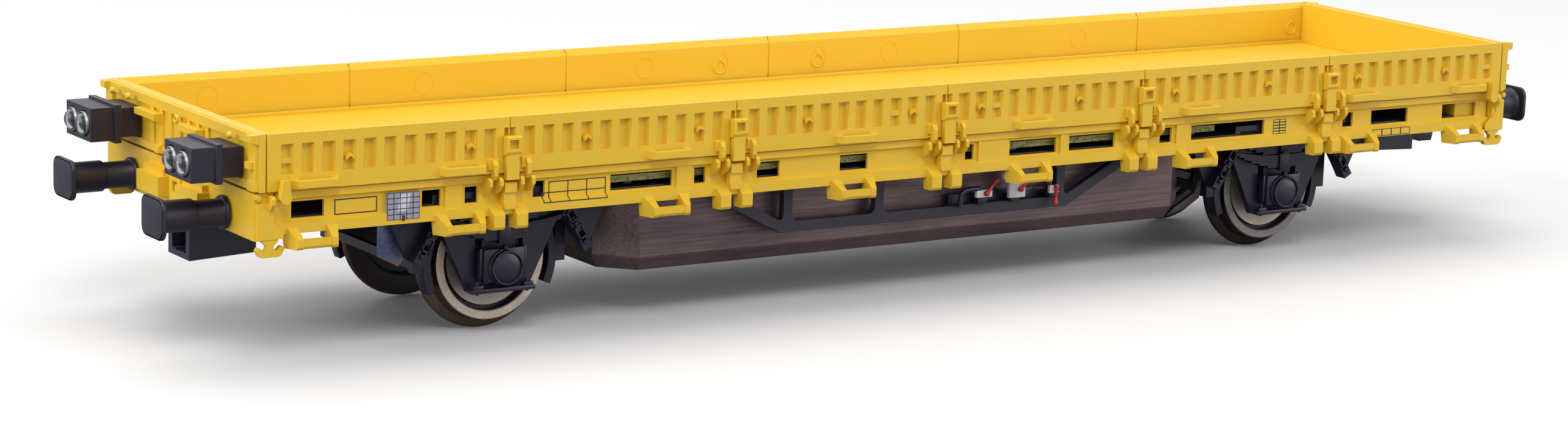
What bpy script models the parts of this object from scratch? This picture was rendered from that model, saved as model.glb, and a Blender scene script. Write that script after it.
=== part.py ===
# Two-axle low-side flat wagon, a 1:87 rail model with end lamps.
# Metres, +Z up, X along the wagon, the lamp end at -X, the front side at -Y.
# The origin is under the middle of the wagon, level with the lowest point of the wheel flanges.

from math import cos, pi, radians, sin

import bmesh
import bpy
from mathutils import Matrix, Vector

# Whole wagon
WHEELBASE = 0.0920
BUFFER_SPACING = 0.0199
BUFFER_HEIGHT = 0.0134
SEAT_GAP = 0.0003
SEAM_GAP = 0.00015
BITE = 0.0001
OVERRUN = 0.0004
FLAT_ANGLE = 0.2

# Load space
BODY_LENGTH = 0.1436
BODY_WIDTH = 0.0327
WALL_TOP = 0.02127
WALL_BOTTOM = 0.01615
FLOOR_TOP = 0.01685
FLOOR_THICKNESS = 0.00055
PLANK_COUNT = 69
PLANK_GROOVE_WIDTH = 0.00022
PLANK_GROOVE_DEPTH = 0.00012

# Drop side boards
PANEL_COUNT = 6
BOARD_THICKNESS = 0.00070
BOARD_TOP_FLAT = 0.00025
BOARD_TOP_DROP = 0.00060
BOARD_RAIL_HEIGHT = 0.00098
BOARD_BAND_HEIGHT = 0.00147
CHANNELS_PER_PANEL = 12
CHANNEL_WIDTH = 0.00119
CHANNEL_DEPTH = 0.00030
CHANNEL_ROUND_STEPS = 1
HOOK_WIDTH = 0.00076
HOOK_HEIGHT = 0.00060
HOOK_PROUD = 0.00022
HOOK_RAISE = 0.00242
HOOK_CHANNELS = ((4, 10), (4, 10), (4, 10), (2, 8), (2, 8), (2, 8))
CHOCK_CHANNELS = ((1,), (), (9,), (3,), (), (11,))
CHOCK_SIZE = 0.00052

# Handles on the boards and loop steps under the sole bars share their places
STEP_PLACE_SHARES = (-0.936, -0.7325, -0.434, -0.1455, 0.1455, 0.434, 0.7325, 0.936)
HANDLE_LENGTH = 0.0048
HANDLE_HEIGHT = 0.00070
HANDLE_PROUD = 0.00085
HANDLE_END = 0.00085
HANDLE_SLANT = 0.00050
HANDLE_SLOT = 0.00030
HANDLE_RAISE = 0.00025

# End walls
END_WALL_THICKNESS = 0.00065
END_RAIL_PROUD = 0.00030
END_RAIL_HEIGHT = 0.00095
END_TAB_WIDTH = 0.00100
END_TAB_HEIGHT = 0.00085
END_TAB_PROUD = 0.00085
END_TAB_SLANT = 0.00025
END_RIB_COUNT = 15
END_RIB_WIDTH = 0.00075
END_RIB_PROUD = 0.00024
END_BAND_HEIGHT = 0.00080
END_BAND_PROUD = 0.00030
END_POST_WIDTH = 0.00160
END_POST_PROUD = 0.00036
END_FOOT_HEIGHT = 0.00130
END_FOOT_PROUD = 0.00042
END_HORN_WIDTH = 0.00070
END_HORN_HEIGHT = 0.00058
END_HORN_RAISE = 0.00212
END_HORN_PROUD = 0.00055
SHELF_PLACE_SHARES = (-0.196, 0.355)
SHELF_LENGTH = 0.00440
SHELF_HEIGHT = 0.00060
SHELF_PROUD = 0.00110
SHELF_DROP = 0.00190
END_HINGE_PLACE_SHARES = (-0.24, 0.24)
END_HINGE_WIDTH = 0.00085
END_HINGE_PROUD = 0.00070
END_HINGE_HEIGHT = 0.00130

# Sole bars
SOLE_OUTER = 0.01598
SOLE_WEB_OUTER = 0.01560
SOLE_INNER = 0.01530
SOLE_BOTTOM = 0.01225
SOLE_FLANGE_LOW = 0.00115
SOLE_FLANGE_HIGH = 0.00085
SOLE_FLANGE_SLOPE = 0.00022
WINDOW_BOTTOM = 0.01352
WINDOW_TOP = 0.01502
WINDOW_SHARES = (
    (-0.962, -0.918), (-0.784, -0.758), (-0.724, -0.706), (-0.627, -0.610),
    (-0.514, -0.422), (-0.389, -0.372), (-0.293, -0.258), (-0.163, -0.119),
    (0.040, 0.054), (0.114, 0.193), (0.215, 0.294), (0.373, 0.394),
    (0.429, 0.561), (0.707, 0.726), (0.761, 0.831), (0.898, 0.964),
)
STIFFENER_SHARES = (
    (-0.753, -0.729), (-0.417, -0.394), (0.060, 0.109), (0.198, 0.210), (0.400, 0.424),
)
STIFFENER_PROUD = 0.00024

# Stakes, their pockets and the brackets below, one set at each panel joint
STAKE_WIDTH = 0.00126
STAKE_THICKNESS = 0.00055
STAKE_BOTTOM = 0.01562
STAKE_TOP = 0.01880
POCKET_WIDTH = 0.00150
POCKET_HEIGHT = 0.00150
POCKET_PROUD = 0.00075
POCKET_TOP = 0.01958
POCKET_MOUTH_WIDTH = 0.00093
POCKET_MOUTH_DEPTH = 0.00050
POCKET_MOUTH_HEIGHT = 0.00081
POCKET_MOUTH_DROP = 0.00031
BRACKET_WIDTH = 0.00120
BRACKET_HEIGHT = 0.00180
BRACKET_PROUD = 0.00075
BRACKET_DROP = 0.00030
BRACKET_TOE_WIDTH = 0.00150
BRACKET_ROOT_WIDTH = 0.00098
BRACKET_TOE_HEIGHT = 0.00075
LUG_WIDTH = 0.00036
LUG_PROUD = 0.00100
LUG_TOP = 0.01584
LUG_HEIGHT = 0.00160
LUG_OFFSETS = (-0.00218, -0.00108, 0.00108, 0.00218)
KNUCKLE_OFFSET = 0.00163
KNUCKLE_WIDTH = 0.00042
KNUCKLE_PROUD = 0.00070
KNUCKLE_TOP = 0.01746
KNUCKLE_BOTTOM = 0.01566
HINGE_PLATE_WIDTH = 0.00110
HINGE_PLATE_HEIGHT = 0.00092
HINGE_PLATE_PROUD = 0.00025
HINGE_PLATE_TOP = 0.01752
END_CATCH_FROM_END = 0.00150
END_CATCH_NECK = 0.00060
END_CATCH_RADIUS = 0.00055
END_CATCH_TOP = 0.01721
END_CATCH_BOTTOM = 0.01512
END_CATCH_PROUD = 0.00075
END_CATCH_SIDES = 6
FOOT_OFFSETS = (-0.00118, 0.00118)
FOOT_WIDTH = 0.00150
FOOT_PROUD = 0.00085
FOOT_DROP = 0.00120
FOOT_RISE = 0.00088
FOOT_NECK = 0.00035
FOOT_FRONT = 0.00135
FOOT_TAPER = 0.00018

# Loop steps
STEP_LENGTH = 0.0053
STEP_END_WIDTH = 0.00125
STEP_PROUD = 0.00125
STEP_DROP = 0.00130
STEP_RISE = 0.00060
STEP_BAR_HEIGHT = 0.00095
STEP_BAR_THICKNESS = 0.00050
STEP_TAPER = 0.00070

# Headstocks, their corner castings and rope hooks
HEADSTOCK_PROUD = 0.0009
HEADSTOCK_THICKNESS = 0.00180
HEADSTOCK_BOTTOM = 0.01180
CORNER_LENGTH = 0.00260
CORNER_NECK = 0.00120
CORNER_REACH = 0.01633
CORNER_PLATE = 0.00020
CORNER_TOP = 0.01515
CORNER_CURVE_TOP = 0.01400
CORNER_CURVE_BOTTOM = 0.01245
CORNER_CURVE_STEPS = 5
CORNER_LUG_INSET = 0.00135
CORNER_PIN_RADIUS = 0.00027
CORNER_PIN_INSET = 0.00020
CORNER_PIN_DROP = 0.00032
CORNER_PIN_SIDES = 6
DRAWGEAR_PLACE_SHARES = (-0.26, 0.26)
DRAWGEAR_WIDTH = 0.00480
DRAWGEAR_HEIGHT = 0.00240
DRAWGEAR_PROUD = 0.00120
DRAWGEAR_STEP = 0.00060
DRAWGEAR_BOTTOM = 0.01270
HOOK_PLATE_WIDTH = 0.00240
HOOK_PLATE_HEIGHT = 0.00260
HOOK_PLATE_PROUD = 0.00040
HOOK_HOLE = 0.00100
ROPE_HOOK_THICKNESS = 0.00060
ROPE_HOOK_DROP = 0.00146
ROPE_HOOK_SPAN = 0.00265
ROPE_HOOK_INSET = 0.00137
ROPE_HOOK_SHARES = (
    (0.57, 0.04), (0.25, 0.31), (0.25, 0.48), (0.49, 0.64), (0.72, 0.41),
    (0.87, 0.36), (1.0, 0.55), (0.80, 0.92), (0.57, 1.0),
)

# Buffers, as long from the headstock to the head as the whole wagon needs for 159.3 mm
BUFFER_REACH = 0.00695
BUFFER_HEAD_WIDTH = 0.0044
BUFFER_HEAD_HEIGHT = 0.0040
BUFFER_HEAD_CORNER = 0.00090
BUFFER_HEAD_THICKNESS = 0.00055
BUFFER_HEAD_CROWN = 0.00022
BUFFER_SLEEVE_RADIUS = 0.00142
BUFFER_SLEEVE_LENGTH = 0.00370
BUFFER_CASE_RADIUS = 0.00124
BUFFER_FLANGE_RADIUS = 0.00150
BUFFER_FLANGE_THICKNESS = 0.00035
BUFFER_SIDES = 16

# End lamps
LAMP_SPACING = 0.0219
LAMP_WIDTH = 0.0056
LAMP_HEIGHT = 0.0031
LAMP_BOTTOM = 0.0169
LAMP_FRONT = 0.0777
LAMP_BOX_LENGTH = 0.00225
LAMP_COLLAR_LENGTH = 0.00065
LAMP_COLLAR_PROUD = 0.00022
LAMP_NECK_WIDTH = 0.0048
LAMP_NECK_HEIGHT = 0.0027
LENS_SPACING = 0.0026
LENS_RADIUS = 0.00108
LENS_CROWN = 0.00055
LENS_RIM = 0.00025
LENS_SHANK = 0.00080
LENS_SIDES = 16
LENS_RINGS = 3

# Tray under the floor, circuit board and drive block
TRAY_WIDTH = 0.0300
TRAY_THICKNESS = 0.0006
TRAY_BOTTOM = 0.0130
TRAY_WELL_RISE = 0.0008
TRAY_WELL_LENGTH = 0.0166
BULKHEAD_FROM_AXLE = 0.0029
BULKHEAD_FROM_HEADSTOCK = 0.00175
BULKHEAD_THICKNESS = 0.0010
BULKHEAD_WIDTH = 0.0200
PILLAR_SIZE = 0.0012
PILLAR_PLACE_SHARES = (-0.86, 0.0, 0.86)
BOARD_PILLAR_ROW = 0.0110
CIRCUIT_END_CLEARANCE = 0.0017
CIRCUIT_SHIFT = -0.0009
CIRCUIT_WIDTH = 0.0294
CIRCUIT_THICKNESS = 0.00060
CIRCUIT_BOTTOM = 0.01410
BLOCK_TO_AXLE = 0.0112
BLOCK_WIDTH = 0.0240
BLOCK_CORNER = 0.0033
BLOCK_BOTTOM = 0.00475
BLOCK_BEVEL_HEIGHT = 0.00130
BLOCK_BEVEL_INSET = 0.00070

# Truss under each sole bar
TRUSS_PLANE = 0.0132
TRUSS_THICKNESS = 0.0008
TRUSS_CHORD_BOTTOM = 0.00755
TRUSS_BAR = 0.00105
TRUSS_CHORD_HALF = 0.01695
TRUSS_DIAGONAL_RUN = 0.0092
TRUSS_POST_WIDTH = 0.0010
TRUSS_MIDDLE_POST = -0.0056
TRUSS_FILLET = 0.00070
TRUSS_TOP_BAR = 0.00075
TRUSS_FILLET_SIDES = 3

# Brake change-over levers between the truss posts
LEVER_BAR_THICKNESS = 0.0003
LEVER_BAR_LENGTH = 0.0132
LEVER_BAR_MIDDLE = 0.0098
LEVER_STEM_WIDTH = 0.0011
LEVER_PLATE_THICKNESS = 0.00045
LEVER_PLATES = (
    (0.00645, 0.00188, 0.00072, 0.00070),
    (0.01042, 0.00195, 0.00178, 0.00038),
    (0.01497, 0.00110, 0.00077, 0.00048),
)
LEVER_LOBED_PLATE = 1
LEVER_LOBE_RADIUS = 0.00045
LEVER_LOBE_SHIFT = 0.00110
LEVER_LOBE_RAISE = 0.00060
LEVER_LOBE_SIDES = 4
LEVER_HANDLES = (
    (0.00655, 0.00110, 0.0018, 42.0),
    (0.01070, 0.00120, 0.0018, 42.0),
    (0.01505, 0.00105, 0.0016, 183.0),
)
LEVER_HANDLE_WIDTH = 0.00034
LEVER_HANDLE_THICKNESS = 0.00034
LEVER_KNOB_WIDTH = 0.00050
LEVER_PIPE_LEFT = 0.0037
LEVER_PIPE_WIDTH = 0.00052
LEVER_PIPE_RUN = 0.0023
LEVER_PIPE_RISE = 0.00150
LEVER_PIPE_STEPS = 3

# Wheelsets
FLANGE_RADIUS = 0.00675
TREAD_RADIUS = 0.00568
WHEEL_SIDES = 28
WHEEL_BACK_SPACING = 0.0143
WHEEL_WIDTH = 0.0025
FLANGE_THICKNESS = 0.00085
RIM_INNER_RADIUS = 0.00450
RIM_TAPER = 0.00015
HUB_RADIUS = 0.00170
WHEEL_DISH = 0.00045
WHEEL_BORE_GAP = 0.00015
AXLE_RADIUS = 0.00085
JOURNAL_RADIUS = 0.00055
JOURNAL_LENGTH = 0.00080
AXLE_TIP = 0.01080
AXLE_SIDES = 12

# Axle guards, springs and links
GUARD_OUTER = 0.01120
GUARD_THICKNESS = 0.00080
GUARD_TOP_HALF = 0.0076
GUARD_BOTTOM_HALF = 0.0031
GUARD_BOTTOM = 0.00420
GUARD_SLOT_WIDTH = 0.00075
GUARD_SLOT_HEIGHT = 0.00130
GUARD_SLOT_OFFSET = 0.00213
GUARD_SLOT_BOTTOM = 0.00810
GUARD_BEARING_SIDES = 12
GUARD_TOP_FOOT = 0.0004
GUARD_FOOT_THICKNESS = 0.0006
SPRING_LEAVES = 5
SPRING_LEAF_THICKNESS = 0.00036
SPRING_HALF_LENGTH = 0.00640
SPRING_LEAF_STEP = 0.00095
SPRING_TOP = 0.01235
SPRING_PROUD = 0.00080
SPRING_CAMBER = 0.00040
BUCKLE_WIDTH = 0.00100
BUCKLE_HEIGHT = 0.00240
BUCKLE_PROUD = 0.00110
LINK_TOP_OFFSET = 0.00620
LINK_BOTTOM_OFFSET = 0.00890
LINK_TOP = 0.01215
LINK_BOTTOM = 0.00750
LINK_WIDTH = 0.00100
LINK_PROUD = 0.00110
LINK_EYE_WIDTH = 0.00045
LINK_EYE_LENGTH = 0.00095
LINK_EYE_SHARES = (0.25, 0.72)
BRACKET_PLATE_REACH = 0.0118
BRACKET_PLATE_THICKNESS = 0.0005

# Axle boxes
CAP_RADIUS = 0.00178
CAP_RIM = 0.00022
CAP_RIM_PROUD = 0.00025
CAP_DEPTH = 0.00045
CAP_CROWN = 0.00022
CAP_SIDES = 18
BOX_WIDTH = 0.00400
BOX_HEIGHT = 0.00300
BOX_THICKNESS = 0.00100
KEEP_BAR_LENGTH = 0.0066
KEEP_BAR_HEIGHT = 0.00045
KEEP_BAR_PROUD = 0.00080
KEEP_BAR_DROP = 0.00205

# Brake shoes and their beams
SHOE_CLEARANCE = 0.00045
SHOE_THICKNESS = 0.00080
SHOE_HALF_ANGLE = 24.0
SHOE_ARC_SIDES = 6
SHOE_WIDTH = 0.00130
HANGER_THICKNESS = 0.00070
HANGER_WIDTH = 0.00140
BEAM_HEIGHT = 0.00090

# Close-coupling pockets
COUPLER_WIDTH = 0.0046
COUPLER_BOTTOM = 0.00745
COUPLER_LENGTH = 0.0066
COUPLER_MOUTH_WIDTH = 0.0030
COUPLER_MOUTH_HEIGHT = 0.0026
COUPLER_MOUTH_DEPTH = 0.0045
COUPLER_WALL = 0.00055
COUPLER_TAIL_RISE = 0.0003
COUPLER_STEM_LENGTH = 0.0026
COUPLER_STEM_WIDTH = 0.0030

# Worked out from the sizes above
HALF_BODY = BODY_LENGTH / 2
HALF_WIDTH = BODY_WIDTH / 2
HALF_BASE = WHEELBASE / 2
INNER_WIDTH = HALF_WIDTH - BOARD_THICKNESS
PANEL_LENGTH = BODY_LENGTH / PANEL_COUNT
CHANNEL_PITCH = PANEL_LENGTH / CHANNELS_PER_PANEL
SOLE_TOP = WALL_BOTTOM - SEAM_GAP
FLOOR_BOTTOM = FLOOR_TOP - FLOOR_THICKNESS
END_FACE = HALF_BODY + END_WALL_THICKNESS
AXLE_HEIGHT = FLANGE_RADIUS * cos(pi / WHEEL_SIDES)
WHEEL_INNER = WHEEL_BACK_SPACING / 2
WHEEL_OUTER = WHEEL_INNER + WHEEL_WIDTH
HEADSTOCK_FACE = HALF_BODY + HEADSTOCK_PROUD
HEADSTOCK_INNER = HEADSTOCK_FACE - HEADSTOCK_THICKNESS
BUFFER_TIP = HEADSTOCK_FACE + BUFFER_REACH
SOLE_END = HEADSTOCK_INNER - SEAM_GAP
TRAY_TOP = TRAY_BOTTOM + TRAY_THICKNESS
WELL_INNER = HALF_BASE - TRAY_WELL_LENGTH / 2
WELL_OUTER = HALF_BASE + TRAY_WELL_LENGTH / 2
CIRCUIT_LENGTH = 2 * (WELL_INNER - TRAY_THICKNESS - CIRCUIT_END_CLEARANCE)
BLOCK_HALF_LENGTH = HALF_BASE - BLOCK_TO_AXLE
JOINTS_AT = [PANEL_LENGTH * step - HALF_BODY for step in range(1, PANEL_COUNT)]

YELLOW = (0.800, 0.485, 0.020)
BLACK = (0.020, 0.020, 0.026)
SLATE = (0.030, 0.030, 0.036)
BRASS = (0.075, 0.052, 0.042)
STEEL = (0.300, 0.270, 0.240)
GREEN = (0.160, 0.210, 0.050)
GLASS = (0.800, 0.830, 0.850)


def clear_scene():
    """Empty the scene before the wagon is built."""
    for thing in list(bpy.data.objects):
        bpy.data.objects.remove(thing, do_unlink=True)


def material(name, colour, roughness, metallic):
    """A plain finish, shared by every piece that has it."""
    made = bpy.data.materials.get(name)
    if made is None:
        made = bpy.data.materials.new(name)
        made.use_nodes = True
        shader = made.node_tree.nodes["Principled BSDF"]
        shader.inputs["Base Color"].default_value = (*colour, 1.0)
        shader.inputs["Roughness"].default_value = roughness
        shader.inputs["Metallic"].default_value = metallic
        made.diffuse_color = (*colour, 1.0)
    return made


def yellow():
    return material("traffic_yellow_plastic", YELLOW, 0.45, 0.0)


def black():
    return material("black_plastic", BLACK, 0.45, 0.0)


def slate():
    return material("slate_plastic", SLATE, 0.55, 0.0)


def block(x_span, y_span, z_span):
    """A box between two places along each axis."""
    shape = bmesh.new()
    bmesh.ops.create_cube(shape, size=1.0)
    spans = (x_span, y_span, z_span)
    size = Vector(abs(high - low) for low, high in spans)
    middle = Vector((low + high) / 2 for low, high in spans)
    place = Matrix.Translation(middle) @ Matrix.Diagonal((*size, 1.0))
    bmesh.ops.transform(shape, matrix=place, verts=shape.verts)
    return shape


def prism(outline, axis, start, end):
    """An outline pushed along X, Y or Z; it holds (y, z), (x, z) or (x, y)."""
    places = {
        "X": lambda a, b: (start, a, b),
        "Y": lambda a, b: (a, start, b),
        "Z": lambda a, b: (a, b, start),
    }
    travel = Vector((0, 0, 0))
    travel["XYZ".index(axis)] = end - start
    shape = bmesh.new()
    face = shape.faces.new([shape.verts.new(places[axis](a, b)) for a, b in outline])
    grown = bmesh.ops.extrude_face_region(shape, geom=[face])
    moved = [item for item in grown["geom"] if isinstance(item, bmesh.types.BMVert)]
    bmesh.ops.translate(shape, verts=moved, vec=travel)
    bmesh.ops.recalc_face_normals(shape, faces=shape.faces)
    return shape


def turned(profile, axis, sides, centre, half_step=False):
    """A closed profile of (radius, distance along the axis), spun round X or Y."""
    shape = bmesh.new()
    rings = []
    for side in range(sides):
        turn = 2 * pi * (side + (0.5 if half_step else 0.0)) / sides - pi / 2
        ring = []
        for radius, along in profile:
            across, up = radius * cos(turn), radius * sin(turn)
            spot = (along, across, up) if axis == "X" else (across, along, up)
            ring.append(shape.verts.new(spot))
        rings.append(ring)
    for side in range(sides):
        here, after = rings[side], rings[(side + 1) % sides]
        for step in range(len(profile)):
            following = (step + 1) % len(profile)
            shape.faces.new((here[step], here[following], after[following], after[step]))
    bmesh.ops.remove_doubles(shape, verts=shape.verts, dist=BITE * BITE)
    bmesh.ops.dissolve_degenerate(shape, edges=shape.edges, dist=BITE * BITE)
    bmesh.ops.recalc_face_normals(shape, faces=shape.faces)
    bmesh.ops.translate(shape, verts=shape.verts, vec=centre)
    return shape


def arc(middle_a, middle_b, radius, start, end, steps):
    """Points on an arc, its angles in degrees."""
    angles = [radians(start + (end - start) * step / steps) for step in range(steps + 1)]
    return [(middle_a + radius * cos(angle), middle_b + radius * sin(angle)) for angle in angles]


def rounded(width, height, corner, steps=2):
    """A rectangle about its centre with round corners."""
    right, top = width / 2 - corner, height / 2 - corner
    points = []
    for a, b, start in ((right, -top, -90), (right, top, 0), (-right, top, 90), (-right, -top, 180)):
        points += arc(a, b, corner, start, start + 90, steps)
    return points


def mirrored(shape, x=False, y=False):
    """The same solid on the other side or at the other end."""
    copy = shape.copy()
    scale = Vector((-1 if x else 1, -1 if y else 1, 1))
    bmesh.ops.scale(copy, vec=scale, verts=copy.verts)
    bmesh.ops.recalc_face_normals(copy, faces=copy.faces)
    return copy


def gathered(shapes):
    """Several solids in one mesh, for one Boolean."""
    whole = bpy.data.meshes.new("gathered")
    joined = bmesh.new()
    for shape in shapes:
        shape.to_mesh(whole)
        joined.from_mesh(whole)
    joined.to_mesh(whole)
    joined.free()
    return whole


def apply_boolean(mesh, shapes, operation):
    """Fuse or cut a mesh with solids that may overlap each other."""
    base = bpy.data.objects.new("base", mesh)
    tool = bpy.data.objects.new("tool", gathered(shapes))
    for thing in (base, tool):
        bpy.context.scene.collection.objects.link(thing)
    change = base.modifiers.new("change", "BOOLEAN")
    change.operation = operation
    change.solver = "EXACT"
    change.use_self = True
    change.object = tool
    bpy.context.view_layer.update()
    seen = base.evaluated_get(bpy.context.evaluated_depsgraph_get())
    result = bpy.data.meshes.new_from_object(seen)
    for thing in (base, tool):
        bpy.data.objects.remove(thing, do_unlink=True)
    return result


def piece(name, finish, solids, cuts=(), parent=None, origin=(0, 0, 0), smooth=False):
    """One node: solids fused, cuts taken out, its origin where it is told to be."""
    mesh = gathered(solids[:1])
    if len(solids) > 1:
        mesh = apply_boolean(mesh, solids[1:], "UNION")
    if cuts:
        mesh = apply_boolean(mesh, cuts, "DIFFERENCE")
    tidy = bmesh.new()
    tidy.from_mesh(mesh)
    bmesh.ops.dissolve_limit(tidy, angle_limit=radians(FLAT_ANGLE), verts=tidy.verts, edges=tidy.edges)
    bmesh.ops.triangulate(tidy, faces=tidy.faces, quad_method="BEAUTY", ngon_method="BEAUTY")
    tidy.to_mesh(mesh)
    tidy.free()
    mesh.name = name
    mesh.transform(Matrix.Translation(-Vector(origin)))
    mesh.materials.clear()
    mesh.materials.append(finish)
    if smooth:
        mesh.shade_smooth()
        mesh.set_sharp_from_angle(angle=radians(35))
    made = bpy.data.objects.new(name, mesh)
    bpy.context.scene.collection.objects.link(made)
    if parent is None:
        made.location = origin
    else:
        made.parent = parent
        made.location = Vector(origin) - parent.location
    return made


def both_sides(name, finish, solids, cuts=()):
    """A piece on the front side and its mirror on the rear side."""
    piece(name + "_front", finish, solids, cuts)
    turned_solids, turned_cuts = ([mirrored(one, y=True) for one in group] for group in (solids, cuts))
    piece(name + "_rear", finish, turned_solids, turned_cuts)


def load_floor():
    """The planked floor, a board groove at each step along the wagon."""
    half = HALF_BODY - SEAT_GAP
    pitch = 2 * half / PLANK_COUNT
    outline = [(-half, FLOOR_BOTTOM), (half, FLOOR_BOTTOM), (half, FLOOR_TOP)]
    for plank in range(PLANK_COUNT - 1, 0, -1):
        middle = plank * pitch - half
        outline += [
            (middle + PLANK_GROOVE_WIDTH / 2, FLOOR_TOP),
            (middle, FLOOR_TOP - PLANK_GROOVE_DEPTH),
            (middle - PLANK_GROOVE_WIDTH / 2, FLOOR_TOP),
        ]
    outline.append((-half, FLOOR_TOP))
    edge = INNER_WIDTH - SEAT_GAP
    piece("load_floor", yellow(), [prism(outline, "Y", -edge, edge)])


def channel_cutter(left, bottom, top):
    """One upright channel: a square left side, a rounded right side."""
    face = -HALF_WIDTH
    floor = face + CHANNEL_DEPTH
    right = left + CHANNEL_WIDTH
    outline = [(left, face - OVERRUN), (left, floor)]
    outline += arc(right - CHANNEL_DEPTH, face, CHANNEL_DEPTH, 90, 0, CHANNEL_ROUND_STEPS)
    outline.append((right, face - OVERRUN))
    return prism(outline, "Z", bottom, top)


def board_hook(middle, bottom):
    """A small lashing hook in a channel: an upturned V."""
    face = -HALF_WIDTH
    left, right = middle - HOOK_WIDTH / 2, middle + HOOK_WIDTH / 2
    shoulder = bottom + HOOK_HEIGHT / 2
    outline = [
        (left, bottom), (middle, shoulder), (right, bottom), (right, shoulder),
        (middle, bottom + HOOK_HEIGHT), (left, shoulder),
    ]
    return prism(outline, "Y", face - HOOK_PROUD, face + CHANNEL_DEPTH + BITE)


def board_handle(middle):
    """A bar handle on the bottom band, open behind."""
    face = -HALF_WIDTH
    left, right = middle - HANDLE_LENGTH / 2, middle + HANDLE_LENGTH / 2
    outline = [
        (left, face + BITE),
        (left + HANDLE_SLANT, face - HANDLE_PROUD),
        (right - HANDLE_SLANT, face - HANDLE_PROUD),
        (right, face + BITE),
        (right - HANDLE_END, face + BITE),
        (right - HANDLE_END, face - HANDLE_SLOT),
        (left + HANDLE_END, face - HANDLE_SLOT),
        (left + HANDLE_END, face + BITE),
    ]
    bottom = WALL_BOTTOM + HANDLE_RAISE
    return prism(outline, "Z", bottom, bottom + HANDLE_HEIGHT)


def board_knuckle(middle):
    """The upper half of a board hinge: a tongue on a small plate, hanging in front of the sole bar."""
    face = -HALF_WIDTH
    join = WALL_BOTTOM + BITE
    outline = [
        (face - BITE, KNUCKLE_BOTTOM),
        (face - KNUCKLE_PROUD * 0.6, KNUCKLE_BOTTOM),
        (face - KNUCKLE_PROUD, KNUCKLE_BOTTOM + KNUCKLE_WIDTH),
        (face - KNUCKLE_PROUD, KNUCKLE_TOP - KNUCKLE_WIDTH),
        (face - KNUCKLE_PROUD * 0.5, KNUCKLE_TOP),
        (face + BITE, KNUCKLE_TOP),
        (face + BITE, join),
        (face - BITE, join),
    ]
    plate = block(
        (middle - HINGE_PLATE_WIDTH / 2, middle + HINGE_PLATE_WIDTH / 2),
        (face - HINGE_PLATE_PROUD, face + BITE),
        (HINGE_PLATE_TOP - HINGE_PLATE_HEIGHT, HINGE_PLATE_TOP),
    )
    return [prism(outline, "X", middle - KNUCKLE_WIDTH / 2, middle + KNUCKLE_WIDTH / 2), plate]


def end_catch(middle):
    """The round-ended catch at the outer end of the last board, over the headstock corner."""
    back = -HALF_WIDTH - SEAM_GAP
    centre = END_CATCH_BOTTOM + END_CATCH_RADIUS
    neck = END_CATCH_NECK / 2
    outline = [(middle - neck, END_CATCH_TOP)]
    outline += arc(middle, centre, END_CATCH_RADIUS, 150, 390, END_CATCH_SIDES)
    outline.append((middle + neck, END_CATCH_TOP))
    root = block(
        (middle - neck + BITE, middle + neck - BITE),
        (back - BITE, -HALF_WIDTH + BITE),
        (WALL_BOTTOM + BITE, END_CATCH_TOP - BITE),
    )
    return [prism(outline, "Y", back - END_CATCH_PROUD, back), root]


def side_board(panel):
    """One drop side panel of the front side."""
    left = panel * PANEL_LENGTH - HALF_BODY + SEAM_GAP / 2
    right = left + PANEL_LENGTH - SEAM_GAP
    outer, inner = -HALF_WIDTH, -INNER_WIDTH
    outline = [
        (outer, WALL_BOTTOM),
        (outer, WALL_TOP),
        (outer + BOARD_TOP_FLAT, WALL_TOP),
        (inner, WALL_TOP - BOARD_TOP_DROP),
        (inner, WALL_BOTTOM),
    ]
    body = prism(outline, "X", left, right)
    channel_bottom = WALL_BOTTOM + BOARD_BAND_HEIGHT
    channel_top = WALL_TOP - BOARD_RAIL_HEIGHT
    seam = panel * PANEL_LENGTH - HALF_BODY
    middles = [seam + CHANNEL_PITCH * step for step in range(CHANNELS_PER_PANEL + 1)]
    channels = [channel_cutter(middle - CHANNEL_WIDTH / 2, channel_bottom, channel_top)
                for middle in middles if abs(middle) < HALF_BODY - CHANNEL_WIDTH]
    lugs = []
    hook_bottom = WALL_BOTTOM + HOOK_RAISE
    for step in HOOK_CHANNELS[panel]:
        lugs.append(board_hook(middles[step], hook_bottom))
    for step in CHOCK_CHANNELS[panel]:
        middle = middles[step]
        lugs.append(block(
            (middle - CHANNEL_WIDTH / 2 - BITE, middle + CHANNEL_WIDTH / 2 + BITE),
            (outer + CHANNEL_DEPTH / 2, outer + CHANNEL_DEPTH + BITE),
            (hook_bottom, hook_bottom + CHOCK_SIZE),
        ))
    for share in STEP_PLACE_SHARES:
        place = share * HALF_BODY
        if left < place < right:
            lugs.append(board_handle(place))
    for side, joint in ((1, left), (-1, right)):
        if abs(joint) < HALF_BODY - CHANNEL_WIDTH:
            lugs += board_knuckle(joint + side * KNUCKLE_OFFSET)
        else:
            lugs += end_catch(-side * (HALF_BODY - END_CATCH_FROM_END))
    return body, channels, lugs


def side_boards():
    """Six panels on each side, split where the real panels meet."""
    for panel in range(PANEL_COUNT):
        body, channels, lugs = side_board(panel)
        mesh_front = [body], channels, lugs
        for side, flip in (("front", False), ("rear", True)):
            base, cutters, added = [[mirrored(one, y=flip) for one in group] for group in mesh_front]
            name = "side_board_" + side + "_" + str(panel + 1)
            carved = apply_boolean(gathered(base), cutters, "DIFFERENCE")
            shape = bmesh.new()
            shape.from_mesh(carved)
            piece(name, yellow(), [shape] + added)


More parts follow.
